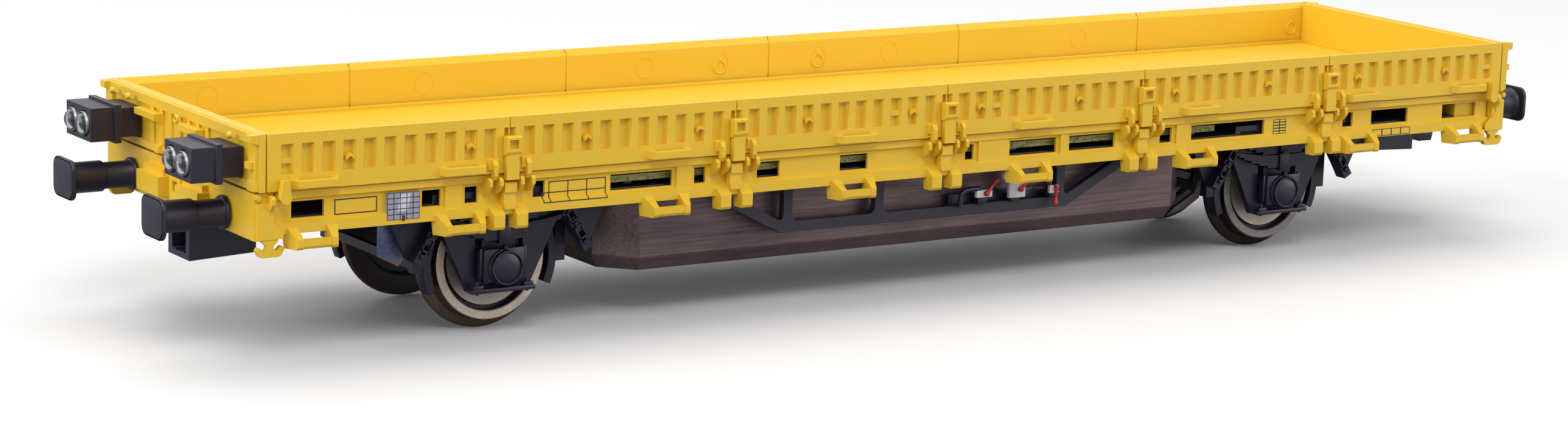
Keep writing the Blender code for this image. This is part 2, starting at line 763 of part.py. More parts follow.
def end_wall(name, at_lamps):
    """One end wall, built at -X: plate, rail with corner tabs, posts, ribs, band, shelves, hinges."""
    inner, outer = -HALF_BODY - SEAM_GAP / 2, -END_FACE
    edge = HALF_WIDTH
    solids = [block((outer, inner), (-edge, edge), (WALL_BOTTOM, WALL_TOP))]
    rail_bottom = WALL_TOP - END_RAIL_HEIGHT
    band_top = WALL_BOTTOM + END_BAND_HEIGHT
    for proud, bottom, top in (
        (END_RAIL_PROUD, rail_bottom, WALL_TOP - BITE),
        (END_BAND_PROUD, WALL_BOTTOM + BITE, band_top),
    ):
        solids.append(block((outer - proud, outer + BITE), (BITE - edge, edge - BITE), (bottom, top)))
    clear = LAMP_SPACING / 2 - LAMP_NECK_WIDTH / 2
    lamp_outer = LAMP_SPACING / 2 + LAMP_NECK_WIDTH / 2
    span = 2 * (edge - END_POST_WIDTH)
    for step in range(END_RIB_COUNT):
        middle = span * (step + 0.5) / END_RIB_COUNT - span / 2
        if at_lamps and clear - END_RIB_WIDTH < abs(middle) < lamp_outer + END_RIB_WIDTH:
            continue
        solids.append(block(
            (outer - END_RIB_PROUD, outer + BITE),
            (middle - END_RIB_WIDTH / 2, middle + END_RIB_WIDTH / 2),
            (band_top - BITE, rail_bottom + BITE),
        ))
    horn_bottom = WALL_BOTTOM + END_HORN_RAISE
    horn_middle = edge - END_POST_WIDTH / 2
    for side in (-1, 1):
        solids.append(block(
            (outer - END_POST_PROUD, outer + BITE),
            sorted((side * (edge - END_POST_WIDTH), side * (edge - BITE * 2))),
            (WALL_BOTTOM + BITE * 2, rail_bottom + BITE),
        ))
        tab = [
            (outer + BITE, WALL_TOP - BITE - END_TAB_HEIGHT),
            (outer - END_TAB_PROUD, WALL_TOP - BITE - END_TAB_HEIGHT + END_TAB_SLANT),
            (outer - END_TAB_PROUD, WALL_TOP - BITE / 2),
            (outer + BITE, WALL_TOP - BITE / 2),
        ]
        solids.append(prism(tab, "Y", side * (edge - END_TAB_WIDTH), side * (edge - BITE / 2)))
        foot = [
            (outer + BITE, WALL_BOTTOM + BITE / 2),
            (outer - END_FOOT_PROUD, WALL_BOTTOM + BITE / 2),
            (outer - END_FOOT_PROUD, WALL_BOTTOM + END_FOOT_HEIGHT * 0.7),
            (outer - END_POST_PROUD / 2, WALL_BOTTOM + END_FOOT_HEIGHT),
            (outer + BITE, WALL_BOTTOM + END_FOOT_HEIGHT),
        ]
        solids.append(prism(foot, "Y", side * (edge - END_POST_WIDTH - BITE), side * (edge - BITE * 3)))
        horn = [
            (outer - END_POST_PROUD + BITE, horn_bottom - END_HORN_HEIGHT / 4),
            (outer - END_POST_PROUD - END_HORN_PROUD, horn_bottom),
            (outer - END_POST_PROUD - END_HORN_PROUD, horn_bottom + END_HORN_HEIGHT),
            (outer - END_POST_PROUD + BITE, horn_bottom + END_HORN_HEIGHT),
        ]
        solids.append(prism(
            horn, "Y",
            side * horn_middle - END_HORN_WIDTH / 2, side * horn_middle + END_HORN_WIDTH / 2,
        ))
    for share in SHELF_PLACE_SHARES:
        middle = share * HALF_WIDTH
        top = WALL_TOP - SHELF_DROP + SHELF_HEIGHT
        outline = [
            (outer + BITE, top - SHELF_HEIGHT * 1.8),
            (outer - SHELF_PROUD, top - SHELF_HEIGHT),
            (outer - SHELF_PROUD, top),
            (outer + BITE, top),
        ]
        solids.append(prism(outline, "Y", middle - SHELF_LENGTH / 2, middle + SHELF_LENGTH / 2))
    for share in END_HINGE_PLACE_SHARES:
        middle = share * HALF_WIDTH
        outline = [
            (outer + BITE, WALL_BOTTOM + BITE * 2),
            (outer - END_HINGE_PROUD, WALL_BOTTOM + BITE * 2),
            (outer - END_HINGE_PROUD, WALL_BOTTOM + END_HINGE_HEIGHT * 0.6),
            (outer + BITE, WALL_BOTTOM + END_HINGE_HEIGHT),
        ]
        solids.append(prism(outline, "Y", middle - END_HINGE_WIDTH / 2, middle + END_HINGE_WIDTH / 2))
    if not at_lamps:
        solids = [mirrored(one, x=True) for one in solids]
    piece(name, yellow(), solids)


def sole_wedge(middle, width, proud, drop, rise, front, tapers):
    """A foot or step end: it slopes out of the lower flange, hangs under it and narrows forward."""
    outer = -SOLE_OUTER
    back = outer + FOOT_NECK * 1.5
    bottom = SOLE_BOTTOM - drop
    outline = [
        (back, SOLE_BOTTOM + BITE),
        (outer + FOOT_NECK, bottom),
        (outer - proud + FOOT_NECK * 0.5, bottom),
        (outer - proud, bottom + FOOT_NECK * 0.7),
        (outer - proud, bottom + front),
        (outer + BITE, SOLE_BOTTOM + rise),
        (outer + BITE, SOLE_BOTTOM + BITE),
    ]
    wedge = prism(outline, "X", middle - width / 2, middle + width / 2)
    left, right = tapers
    for corner in wedge.verts:
        share = (back - corner.co.y) / (back - outer + proud)
        corner.co.x += left * share if corner.co.x < middle else -right * share
    return wedge


def loop_step(middle):
    """A U-shaped step: two wedge ends and a bar that stands clear of the sole bar."""
    reach = STEP_LENGTH / 2 - STEP_END_WIDTH / 2
    ends = []
    for side, tapers in ((-1, (STEP_TAPER, 0)), (1, (0, STEP_TAPER))):
        ends.append(sole_wedge(middle + side * reach, STEP_END_WIDTH, STEP_PROUD, STEP_DROP, STEP_RISE,
                               STEP_BAR_HEIGHT, tapers))
    face = BITE / 2 - SOLE_OUTER - STEP_PROUD
    bottom = SOLE_BOTTOM - STEP_DROP + BITE / 2
    top = bottom + STEP_BAR_HEIGHT - BITE
    outline = [
        (face + STEP_BAR_THICKNESS, bottom),
        (face + FOOT_NECK * 0.5, bottom),
        (face, bottom + FOOT_NECK * 0.7),
        (face, top),
        (face + STEP_BAR_THICKNESS, top),
    ]
    half = STEP_LENGTH / 2 - STEP_TAPER - BITE * 2
    return ends + [prism(outline, "X", middle - half, middle + half)]


def stake(joint):
    """Post over a panel joint with its open pocket and the bracket on the sole bar."""
    board = -HALF_WIDTH - SEAM_GAP
    half = STAKE_WIDTH / 2
    post = block((joint - half, joint + half), (board - STAKE_THICKNESS, board), (STAKE_BOTTOM, STAKE_TOP))
    pocket_front = board - POCKET_PROUD
    pocket_bottom = POCKET_TOP - POCKET_HEIGHT
    pocket = [
        (board, pocket_bottom - POCKET_PROUD * 0.4),
        (board - STAKE_THICKNESS * 1.15, pocket_bottom - BITE),
        (pocket_front, pocket_bottom + BITE),
        (pocket_front, POCKET_TOP - BITE),
        (pocket_front + BITE, POCKET_TOP),
        (board, POCKET_TOP),
    ]
    box = prism(pocket, "X", joint - POCKET_WIDTH / 2, joint + POCKET_WIDTH / 2)
    root = block(
        (joint - half + BITE, joint + half - BITE),
        (board - STAKE_THICKNESS / 3, BITE - SOLE_OUTER),
        (STAKE_BOTTOM + BITE, SOLE_TOP - BITE),
    )
    outer = -SOLE_OUTER
    bracket_top = STAKE_BOTTOM - BRACKET_DROP
    bracket_bottom = bracket_top - BRACKET_HEIGHT
    bracket = [
        (outer + BITE * 2, bracket_bottom),
        (outer - BRACKET_PROUD * 0.7, bracket_bottom),
        (outer - BRACKET_PROUD * 0.7, bracket_bottom + BRACKET_HEIGHT * 0.45),
        (outer - BRACKET_PROUD, bracket_bottom + BRACKET_HEIGHT * 0.5),
        (outer - BRACKET_PROUD, bracket_top - BITE),
        (outer - BRACKET_PROUD + BITE, bracket_top),
        (outer + BITE * 2, bracket_top),
    ]
    arm = prism(bracket, "X", joint - BRACKET_WIDTH / 2, joint + BRACKET_WIDTH / 2)
    toe_top = bracket_bottom + BITE
    toe_outline = [
        (joint - BRACKET_TOE_WIDTH / 2, toe_top),
        (joint - BRACKET_TOE_WIDTH / 3, toe_top - BRACKET_TOE_HEIGHT),
        (joint + BRACKET_TOE_WIDTH / 3, toe_top - BRACKET_TOE_HEIGHT),
        (joint + BRACKET_TOE_WIDTH / 2, toe_top),
    ]
    toe = prism(toe_outline, "Y", outer - BRACKET_PROUD * 0.85, outer + BITE)
    web_fill = block(
        (joint - BRACKET_ROOT_WIDTH / 2, joint + BRACKET_ROOT_WIDTH / 2),
        (outer - BRACKET_PROUD / 3, BITE - SOLE_WEB_OUTER),
        (SOLE_BOTTOM + BITE, bracket_top - BITE),
    )
    mouth_top = POCKET_TOP - POCKET_MOUTH_DROP
    mouth = block(
        (joint - POCKET_MOUTH_WIDTH / 2, joint + POCKET_MOUTH_WIDTH / 2),
        (pocket_front - OVERRUN, pocket_front + POCKET_MOUTH_DEPTH),
        (mouth_top - POCKET_MOUTH_HEIGHT, mouth_top),
    )
    return [post, box, root, arm, toe, web_fill], [mouth]


def hinge_lug(middle):
    """A claw-shaped lower hinge lug in front of the sole bar."""
    outer = -SOLE_OUTER
    bottom = LUG_TOP - LUG_HEIGHT
    outline = [
        (BITE - SOLE_WEB_OUTER, bottom),
        (outer, bottom),
        (outer - LUG_PROUD * 0.55, bottom + LUG_HEIGHT * 0.22),
        (outer - LUG_PROUD, bottom + LUG_HEIGHT * 0.55),
        (outer - LUG_PROUD, LUG_TOP - LUG_HEIGHT * 0.16),
        (outer - LUG_PROUD * 0.75, LUG_TOP),
        (BITE - SOLE_WEB_OUTER, LUG_TOP),
    ]
    return prism(outline, "X", middle - LUG_WIDTH / 2, middle + LUG_WIDTH / 2)


def sole_bar():
    """The channel-shaped sole bar of the front side with all that it carries."""
    outer, web, inner = -SOLE_OUTER, -SOLE_WEB_OUTER, -SOLE_INNER
    low, high = SOLE_BOTTOM + SOLE_FLANGE_LOW, SOLE_TOP - SOLE_FLANGE_HIGH
    outline = [
        (inner, SOLE_BOTTOM), (outer, SOLE_BOTTOM), (outer, low - SOLE_FLANGE_SLOPE), (web, low),
        (web, high), (outer, high + SOLE_FLANGE_SLOPE), (outer, SOLE_TOP), (inner, SOLE_TOP),
    ]
    bar = prism(outline, "X", -SOLE_END, SOLE_END)
    windows = [
        block((a * HALF_BODY, b * HALF_BODY), (web - OVERRUN, inner + OVERRUN), (WINDOW_BOTTOM, WINDOW_TOP))
        for a, b in WINDOW_SHARES
    ]
    solids = []
    for a, b in STIFFENER_SHARES:
        solids.append(block(
            (a * HALF_BODY, b * HALF_BODY),
            (web - STIFFENER_PROUD, web + BITE),
            (low - SOLE_FLANGE_SLOPE, high + SOLE_FLANGE_SLOPE),
        ))
    mouths = []
    for joint in JOINTS_AT:
        made, cut = stake(joint)
        solids += made
        mouths += cut
        solids += [hinge_lug(joint + offset) for offset in LUG_OFFSETS]
        solids += [sole_wedge(joint + offset, FOOT_WIDTH, FOOT_PROUD, FOOT_DROP, FOOT_RISE, FOOT_FRONT,
                              (FOOT_TAPER, FOOT_TAPER))
                   for offset in FOOT_OFFSETS]
    for share in STEP_PLACE_SHARES:
        solids += loop_step(share * HALF_BODY)
    return bar, windows, solids, mouths


def sole_bars():
    """Windows are cut first, then the fittings are fused on, then the pocket mouths are cut."""
    bar, windows, solids, mouths = sole_bar()
    for side, flip in (("front", False), ("rear", True)):
        groups = [[mirrored(one, y=flip) for one in group] for group in ([bar], windows, solids, mouths)]
        carved = apply_boolean(gathered(groups[0]), groups[1], "DIFFERENCE")
        shape = bmesh.new()
        shape.from_mesh(carved)
        piece("sole_bar_" + side, yellow(), [shape] + groups[2], groups[3])


def rope_hook():
    """The anchor-shaped rope hook under a headstock corner, in the XZ plane."""
    middle = ROPE_HOOK_INSET - HEADSTOCK_FACE
    half = ROPE_HOOK_SPAN / 2
    right = [(half * across, HEADSTOCK_BOTTOM - ROPE_HOOK_DROP * down) for across, down in ROPE_HOOK_SHARES]
    top = [(half * ROPE_HOOK_SHARES[0][0], HEADSTOCK_BOTTOM + BITE * 3)]
    right = top + right
    left = [(-x, z) for x, z in reversed(right)]
    start = BITE - CORNER_REACH
    return prism([(middle + x, z) for x, z in right + left], "Y", start, start + ROPE_HOOK_THICKNESS)


def headstock_corner():
    """Corner casting at -X, -Y: block, curved plate in front of the sole bar, hinge lug and pin."""
    face = -HEADSTOCK_FACE
    low = HEADSTOCK_BOTTOM + BITE * 1.5
    steps = [step / CORNER_CURVE_STEPS for step in range(CORNER_CURVE_STEPS + 1)]
    curve = [
        (face + CORNER_NECK + (CORNER_LENGTH - CORNER_NECK) * (1 - cos(pi * t)) / 2,
         CORNER_CURVE_TOP + (CORNER_CURVE_BOTTOM - CORNER_CURVE_TOP) * t)
        for t in steps
    ]
    outline = [(face + BITE * 1.5, CORNER_TOP - BITE / 2), (face + CORNER_NECK, CORNER_TOP - BITE / 2)]
    outline += curve + [(face + CORNER_LENGTH, low), (face + BITE * 1.5, low)]
    casting = block(
        (face + BITE, face + HEADSTOCK_THICKNESS - BITE),
        (BITE - CORNER_REACH, -SOLE_INNER),
        (HEADSTOCK_BOTTOM + BITE, CORNER_TOP),
    )
    pin = turned(
        [(0, BITE - SOLE_WEB_OUTER), (CORNER_PIN_RADIUS, BITE - SOLE_WEB_OUTER),
         (CORNER_PIN_RADIUS, -CORNER_REACH), (0, -CORNER_REACH)],
        "Y", CORNER_PIN_SIDES, (face + CORNER_PIN_INSET, 0, SOLE_TOP - CORNER_PIN_DROP),
    )
    return [
        prism(outline, "Y", -CORNER_REACH, CORNER_PLATE - CORNER_REACH),
        casting,
        hinge_lug(face + CORNER_LUG_INSET),
        pin,
    ]


def headstock(name, flip):
    """One end beam, built at -X: beam, corner castings, drawgear boxes and hook plate."""
    face, inner = -HEADSTOCK_FACE, -HEADSTOCK_INNER
    solids = [block((face, inner), (-SOLE_OUTER + BITE, SOLE_OUTER - BITE), (HEADSTOCK_BOTTOM, SOLE_TOP))]
    cuts = []
    for one in headstock_corner() + [rope_hook()]:
        solids += [one, mirrored(one, y=True)]
    for share in DRAWGEAR_PLACE_SHARES:
        middle = share * HALF_WIDTH
        low_half = DRAWGEAR_WIDTH / 2
        high_half = low_half - DRAWGEAR_STEP / 2
        solids.append(block(
            (face - DRAWGEAR_PROUD, face + BITE),
            (middle - low_half, middle + low_half),
            (DRAWGEAR_BOTTOM, DRAWGEAR_BOTTOM + DRAWGEAR_HEIGHT - DRAWGEAR_STEP),
        ))
        solids.append(block(
            (face - DRAWGEAR_PROUD + DRAWGEAR_STEP, face + BITE),
            (middle - high_half, middle + high_half),
            (DRAWGEAR_BOTTOM + BITE, DRAWGEAR_BOTTOM + DRAWGEAR_HEIGHT),
        ))
    plate_bottom = DRAWGEAR_BOTTOM - BITE
    solids.append(block(
        (face - HOOK_PLATE_PROUD, face + BITE),
        (-HOOK_PLATE_WIDTH / 2, HOOK_PLATE_WIDTH / 2),
        (plate_bottom, plate_bottom + HOOK_PLATE_HEIGHT),
    ))
    hole = plate_bottom + HOOK_PLATE_HEIGHT / 2
    cuts.append(block(
        (face - HOOK_PLATE_PROUD - OVERRUN, face + HOOK_PLATE_PROUD),
        (-HOOK_HOLE / 2, HOOK_HOLE / 2),
        (hole - HOOK_HOLE / 2, hole + HOOK_HOLE / 2),
    ))
    if flip:
        solids = [mirrored(one, x=True) for one in solids]
        cuts = [mirrored(one, x=True) for one in cuts]
    piece(name, yellow(), solids, cuts)


def buffer_head():
    """The crowned head: rounded outline, its front face domed by a smaller raised ring."""
    tip = -BUFFER_TIP
    shape = bmesh.new()
    rings = []
    levels = ((1.0, BUFFER_HEAD_CROWN + BUFFER_HEAD_THICKNESS), (1.0, BUFFER_HEAD_CROWN),
              (0.80, BUFFER_HEAD_CROWN * 0.36), (0.50, 0))
    for share, back in levels:
        outline = rounded(BUFFER_HEAD_WIDTH * share, BUFFER_HEAD_HEIGHT * share, BUFFER_HEAD_CORNER * share)
        rings.append([shape.verts.new((tip + back, a, BUFFER_HEIGHT + b)) for a, b in outline])
    for near, far in zip(rings, rings[1:]):
        for step in range(len(near)):
            after = (step + 1) % len(near)
            shape.faces.new((near[step], near[after], far[after], far[step]))
    shape.faces.new(rings[0])
    shape.faces.new(rings[-1])
    bmesh.ops.recalc_face_normals(shape, faces=shape.faces)
    return shape


def buffers():
    """Four buffers: head, sleeve, thinner case and base flange."""
    tip = -BUFFER_TIP
    back_of_head = tip + BUFFER_HEAD_CROWN + BUFFER_HEAD_THICKNESS
    base = -HEADSTOCK_FACE - SEAM_GAP
    sleeve_end = back_of_head + BUFFER_SLEEVE_LENGTH
    profile = [
        (0, back_of_head - BUFFER_HEAD_THICKNESS / 2),
        (BUFFER_SLEEVE_RADIUS, back_of_head - BUFFER_HEAD_THICKNESS / 2),
        (BUFFER_SLEEVE_RADIUS, sleeve_end),
        (BUFFER_CASE_RADIUS, sleeve_end + BITE),
        (BUFFER_CASE_RADIUS, base - BUFFER_FLANGE_THICKNESS),
        (BUFFER_FLANGE_RADIUS, base - BUFFER_FLANGE_THICKNESS),
        (BUFFER_FLANGE_RADIUS, base),
        (0, base),
    ]
    stem = turned(profile, "X", BUFFER_SIDES, (0, 0, BUFFER_HEIGHT))
    for end, flip_x in (("lamp_end", False), ("plain_end", True)):
        for side, shift in (("front", -1), ("rear", 1)):
            solids = []
            for one in (buffer_head(), stem):
                moved = mirrored(one, x=flip_x)
                bmesh.ops.translate(moved, verts=moved.verts, vec=(0, shift * BUFFER_SPACING / 2, 0))
                solids.append(moved)
            piece("buffer_" + end + "_" + side, black(), solids, smooth=True)


def lamps():
    """Two lamp housings on the end wall, each with two domed lenses let into its face."""
    neck_end = -END_FACE - SEAM_GAP
    front = -LAMP_FRONT
    middle_z = LAMP_BOTTOM + LAMP_HEIGHT / 2
    bowl = material("lamp_lens", GLASS, 0.1, 0.0)
    for side, shift in (("front", -1), ("rear", 1)):
        middle = shift * LAMP_SPACING / 2
        collar = front + LAMP_BOX_LENGTH
        wide, tall = LAMP_WIDTH / 2, LAMP_HEIGHT / 2
        proud = LAMP_COLLAR_PROUD
        solids = [
            block((front, collar + BITE), (middle - wide, middle + wide), (middle_z - tall, middle_z + tall)),
            block((collar, collar + LAMP_COLLAR_LENGTH), (middle - wide - proud, middle + wide + proud),
                  (middle_z - tall - proud, middle_z + tall + proud)),
            block((collar + LAMP_COLLAR_LENGTH - BITE, neck_end),
                  (middle - LAMP_NECK_WIDTH / 2, middle + LAMP_NECK_WIDTH / 2),
                  (middle_z - LAMP_NECK_HEIGHT / 2, middle_z + LAMP_NECK_HEIGHT / 2)),
        ]
        seats = []
        for turn in (-1, 1):
            place = middle + turn * LENS_SPACING / 2
            radius = LENS_RADIUS + SEAM_GAP
            seat = [(0, front - OVERRUN), (radius, front - OVERRUN), (radius, front + LENS_SHANK + SEAM_GAP),
                    (0, front + LENS_SHANK + SEAM_GAP)]
            seats.append(turned(seat, "X", LENS_SIDES, (0, place, middle_z)))
            lens = [(0, front + LENS_SHANK), (LENS_RADIUS, front + LENS_SHANK)]
            for ring in range(LENS_RINGS):
                angle = (pi / 2) * ring / LENS_RINGS
                lens.append((LENS_RADIUS * cos(angle), front - LENS_RIM - LENS_CROWN * sin(angle)))
            lens.append((0, front - LENS_RIM - LENS_CROWN))
            name = "lamp_lens_" + side + ("_outer" if turn == shift else "_inner")
            piece(name, bowl, [turned(lens, "X", LENS_SIDES, (0, place, middle_z))], smooth=True)
        piece("lamp_housing_" + side, black(), solids, seats)


def underframe_tray():
    """The tray under the floor, raised over the wheels, with bulkheads and board pillars."""
    end = HEADSTOCK_INNER - SEAT_GAP
    raised = TRAY_BOTTOM + TRAY_WELL_RISE
    bottom = [(-end, TRAY_BOTTOM), (-WELL_OUTER, TRAY_BOTTOM), (-WELL_OUTER, raised),
              (-WELL_INNER, raised), (-WELL_INNER, TRAY_BOTTOM)]
    bottom += [(-x, z) for x, z in reversed(bottom)]
    wall = TRAY_THICKNESS
    top = [(-end, TRAY_TOP), (-WELL_OUTER - wall, TRAY_TOP), (-WELL_OUTER - wall, raised + wall),
           (-WELL_INNER + wall, raised + wall), (-WELL_INNER + wall, TRAY_TOP)]
    top += [(-x, z) for x, z in reversed(top)]
    edge = TRAY_WIDTH / 2
    solids = [prism(bottom + list(reversed(top)), "Y", -edge, edge)]
    underside = FLOOR_BOTTOM - SEAT_GAP
    near_axle = HALF_BASE - BULKHEAD_FROM_AXLE
    near_headstock = HEADSTOCK_FACE - HEADSTOCK_THICKNESS - BULKHEAD_FROM_HEADSTOCK
    for place, stands_on in ((near_axle, raised + wall), (near_headstock, TRAY_TOP)):
        for middle in (-place, place):
            solids.append(block(
                (middle - BULKHEAD_THICKNESS / 2, middle + BULKHEAD_THICKNESS / 2),
                (-BULKHEAD_WIDTH / 2, BULKHEAD_WIDTH / 2),
                (stands_on - BITE, underside),
            ))
    for share in PILLAR_PLACE_SHARES:
        for side in (-1, 1):
            x = CIRCUIT_SHIFT + share * CIRCUIT_LENGTH / 2
            y = side * BOARD_PILLAR_ROW
            solids.append(block(
                (x - PILLAR_SIZE / 2, x + PILLAR_SIZE / 2),
                (y - PILLAR_SIZE / 2, y + PILLAR_SIZE / 2),
                (TRAY_TOP - BITE, CIRCUIT_BOTTOM - SEAM_GAP),
            ))
    piece("underframe_tray", black(), solids)


def circuit_board():
    """The board that shows through the windows of the sole bars."""
    piece("circuit_board", material("board_green", GREEN, 0.5, 0.0), [block(
        (CIRCUIT_SHIFT - CIRCUIT_LENGTH / 2, CIRCUIT_SHIFT + CIRCUIT_LENGTH / 2),
        (-CIRCUIT_WIDTH / 2, CIRCUIT_WIDTH / 2),
        (CIRCUIT_BOTTOM, CIRCUIT_BOTTOM + CIRCUIT_THICKNESS),
    )])


def drive_block():
    """The blackened metal block between the axles, its corners cut off and its foot bevelled."""
    def plan(inset):
        half_x = BLOCK_HALF_LENGTH - inset
        half_y = BLOCK_WIDTH / 2 - inset
        cut = BLOCK_CORNER - inset * (2 - 2 ** 0.5)
        quarter = [(half_x, half_y - cut), (half_x - cut, half_y)]
        return quarter + [(-x, y) for x, y in reversed(quarter)] + [(-x, -y) for x, y in quarter] + [
            (x, -y) for x, y in reversed(quarter)]

    top = TRAY_BOTTOM - SEAT_GAP
    shape = bmesh.new()
    levels = ((BLOCK_BEVEL_INSET, BLOCK_BOTTOM), (0, BLOCK_BOTTOM + BLOCK_BEVEL_HEIGHT), (0, top))
    rings = [[shape.verts.new((x, y, z)) for x, y in plan(inset)] for inset, z in levels]
    for low, high in zip(rings, rings[1:]):
        for step in range(len(low)):
            after = (step + 1) % len(low)
            shape.faces.new((low[step], low[after], high[after], high[step]))
    shape.faces.new(rings[0])
    shape.faces.new(rings[-1])
    bmesh.ops.recalc_face_normals(shape, faces=shape.faces)
    piece("drive_block", material("blackened_brass", BRASS, 0.45, 0.6), [shape])


def filleted(points, radius):
    """A polygon with its corners rounded by short chords on a quadratic curve."""
    result = []
    count = len(points)
    for index in range(count):
        before = Vector(points[index - 1])
        here = Vector(points[index])
        after = Vector(points[(index + 1) % count])
        start = here + (before - here).normalized() * radius
        finish = here + (after - here).normalized() * radius
        for step in range(TRUSS_FILLET_SIDES + 1):
            t = step / TRUSS_FILLET_SIDES
            spot = start * (1 - t) ** 2 + here * 2 * t * (1 - t) + finish * t ** 2
            result.append((spot.x, spot.y))
    return result


def trusses():
    """The trussed frame under each sole bar: chord, posts and two diagonals."""
    top = TRAY_BOTTOM - SEAT_GAP
    low = TRUSS_CHORD_BOTTOM
    slope = TRUSS_DIAGONAL_RUN / (SOLE_BOTTOM - low)
    foot = TRUSS_CHORD_HALF
    reach = foot + slope * (top - low)
    frame = [(-reach, top), (-foot, low), (foot, low), (reach, top)]
    chord_top = low + TRUSS_BAR
    head = top - TRUSS_TOP_BAR
    post = TRUSS_POST_WIDTH
    corner = foot - post / 3
    lean = TRUSS_BAR * (1 + slope * slope) ** 0.5
    tri_right = [
        (corner, low + (corner + lean - foot) / slope),
        (corner, head),
        (foot + slope * (head - low) - lean, head),
    ]
    wide_left = [(-corner + post, chord_top), (TRUSS_MIDDLE_POST - post / 2, chord_top),
                 (TRUSS_MIDDLE_POST - post / 2, head), (-corner + post, head)]
    wide_right = [(TRUSS_MIDDLE_POST + post / 2, chord_top), (corner - post, chord_top),
                  (corner - post, head), (TRUSS_MIDDLE_POST + post / 2, head)]
    tri_left = [(-x, z) for x, z in tri_right]
    outer, inner = -TRUSS_PLANE - TRUSS_THICKNESS / 2, -TRUSS_PLANE + TRUSS_THICKNESS / 2
    holes = []
    for outline in (tri_left, wide_left, wide_right, tri_right):
        holes.append(prism(filleted(outline, TRUSS_FILLET), "Y", outer - OVERRUN, inner + OVERRUN))
    both_sides("truss", slate(), [prism(frame, "Y", outer, inner)], holes)


def brake_levers():
    """Change-over levers: a bar behind the truss chord, stems, index plates, handles and a bent pipe."""
    back = TRUSS_THICKNESS / 2 + SEAM_GAP - TRUSS_PLANE
    face = -TRUSS_PLANE - TRUSS_THICKNESS / 2 - SEAM_GAP - LEVER_PLATE_THICKNESS
    chord_top = TRUSS_CHORD_BOTTOM + TRUSS_BAR
    rear = (back, back + LEVER_BAR_THICKNESS)
    solids = [block(
        (LEVER_BAR_MIDDLE - LEVER_BAR_LENGTH / 2, LEVER_BAR_MIDDLE + LEVER_BAR_LENGTH / 2),
        rear,
        (TRUSS_CHORD_BOTTOM + BITE, chord_top - BITE),
    )]
    for step, (middle, width, height, lift) in enumerate(LEVER_PLATES):
        low = chord_top + lift
        left, right = middle - width / 2, middle + width / 2
        stem_half = min(LEVER_STEM_WIDTH, width * 0.7) / 2
        stem = (middle - stem_half, middle + stem_half)
        solids.append(block(stem, (rear[0] + BITE / 2, rear[1] - BITE / 2), (chord_top - BITE * 2, low)))
        solids.append(block(
            (stem[0] + BITE / 2, stem[1] - BITE / 2),
            (face + BITE, back + BITE),
            (chord_top + SEAT_GAP, low + BITE),
        ))
        outline = [(left, low), (right, low), (right, low + height), (left, low + height)]
        if step == LEVER_LOBED_PLATE:
            lobe = arc(middle - LEVER_LOBE_SHIFT, low + height + LEVER_LOBE_RAISE, LEVER_LOBE_RADIUS,
                       20, 220, LEVER_LOBE_SIDES)
            outline = outline[:3] + [(middle, low + height)] + lobe + [(left, low + height / 2)]
        solids.append(prism(outline, "Y", face, face + LEVER_PLATE_THICKNESS))
    knob = LEVER_KNOB_WIDTH / 2
    for middle, lift, length, turn in LEVER_HANDLES:
        near = face - LEVER_HANDLE_THICKNESS
        arm = [
            block((-LEVER_HANDLE_WIDTH / 2, LEVER_HANDLE_WIDTH / 2), (near, face + BITE / 2),
                  (-LEVER_HANDLE_WIDTH / 2, length)),
            block((-knob, knob), (near - BITE, face - BITE), (length - LEVER_KNOB_WIDTH, length + BITE)),
        ]
        for one in arm:
            bmesh.ops.transform(one, matrix=Matrix.Rotation(radians(turn), 4, "Y"), verts=one.verts)
            bmesh.ops.translate(one, verts=one.verts, vec=(middle, 0, chord_top + lift))
        solids += arm
    bend = LEVER_PIPE_WIDTH * 1.5
    across, up = LEVER_PIPE_LEFT + bend, chord_top + LEVER_PIPE_RISE - bend
    pipe = [(LEVER_PIPE_LEFT, chord_top - BITE * 2)]
    pipe += arc(across, up, bend, 180, 90, LEVER_PIPE_STEPS)
    pipe += [(LEVER_PIPE_LEFT + LEVER_PIPE_RUN, up + bend),
             (LEVER_PIPE_LEFT + LEVER_PIPE_RUN, up + bend - LEVER_PIPE_WIDTH)]
    pipe += arc(across, up, bend - LEVER_PIPE_WIDTH, 90, 180, LEVER_PIPE_STEPS)
    pipe.append((LEVER_PIPE_LEFT + LEVER_PIPE_WIDTH, chord_top - BITE * 2))
    solids.append(prism(pipe, "Y", rear[0] + BITE / 2, rear[1] + BITE / 2))
    both_sides("brake_levers", slate(), solids)


def wheel_profile():
    """Half section of a wheel on the +Y side: (radius, distance from the middle)."""
    inner, outer = WHEEL_INNER, WHEEL_OUTER
    bore = AXLE_RADIUS + WHEEL_BORE_GAP
    return [
        (bore, inner),
        (FLANGE_RADIUS - FLANGE_THICKNESS / 3, inner),
        (FLANGE_RADIUS, inner + FLANGE_THICKNESS / 2),
        (TREAD_RADIUS + RIM_TAPER, inner + FLANGE_THICKNESS),
        (TREAD_RADIUS, outer - RIM_TAPER), (TREAD_RADIUS - RIM_TAPER, outer),
        (RIM_INNER_RADIUS, outer), (RIM_INNER_RADIUS - WHEEL_DISH / 2, outer - WHEEL_DISH),
        (HUB_RADIUS + WHEEL_DISH, outer - WHEEL_DISH), (HUB_RADIUS, outer), (bore, outer),
    ]


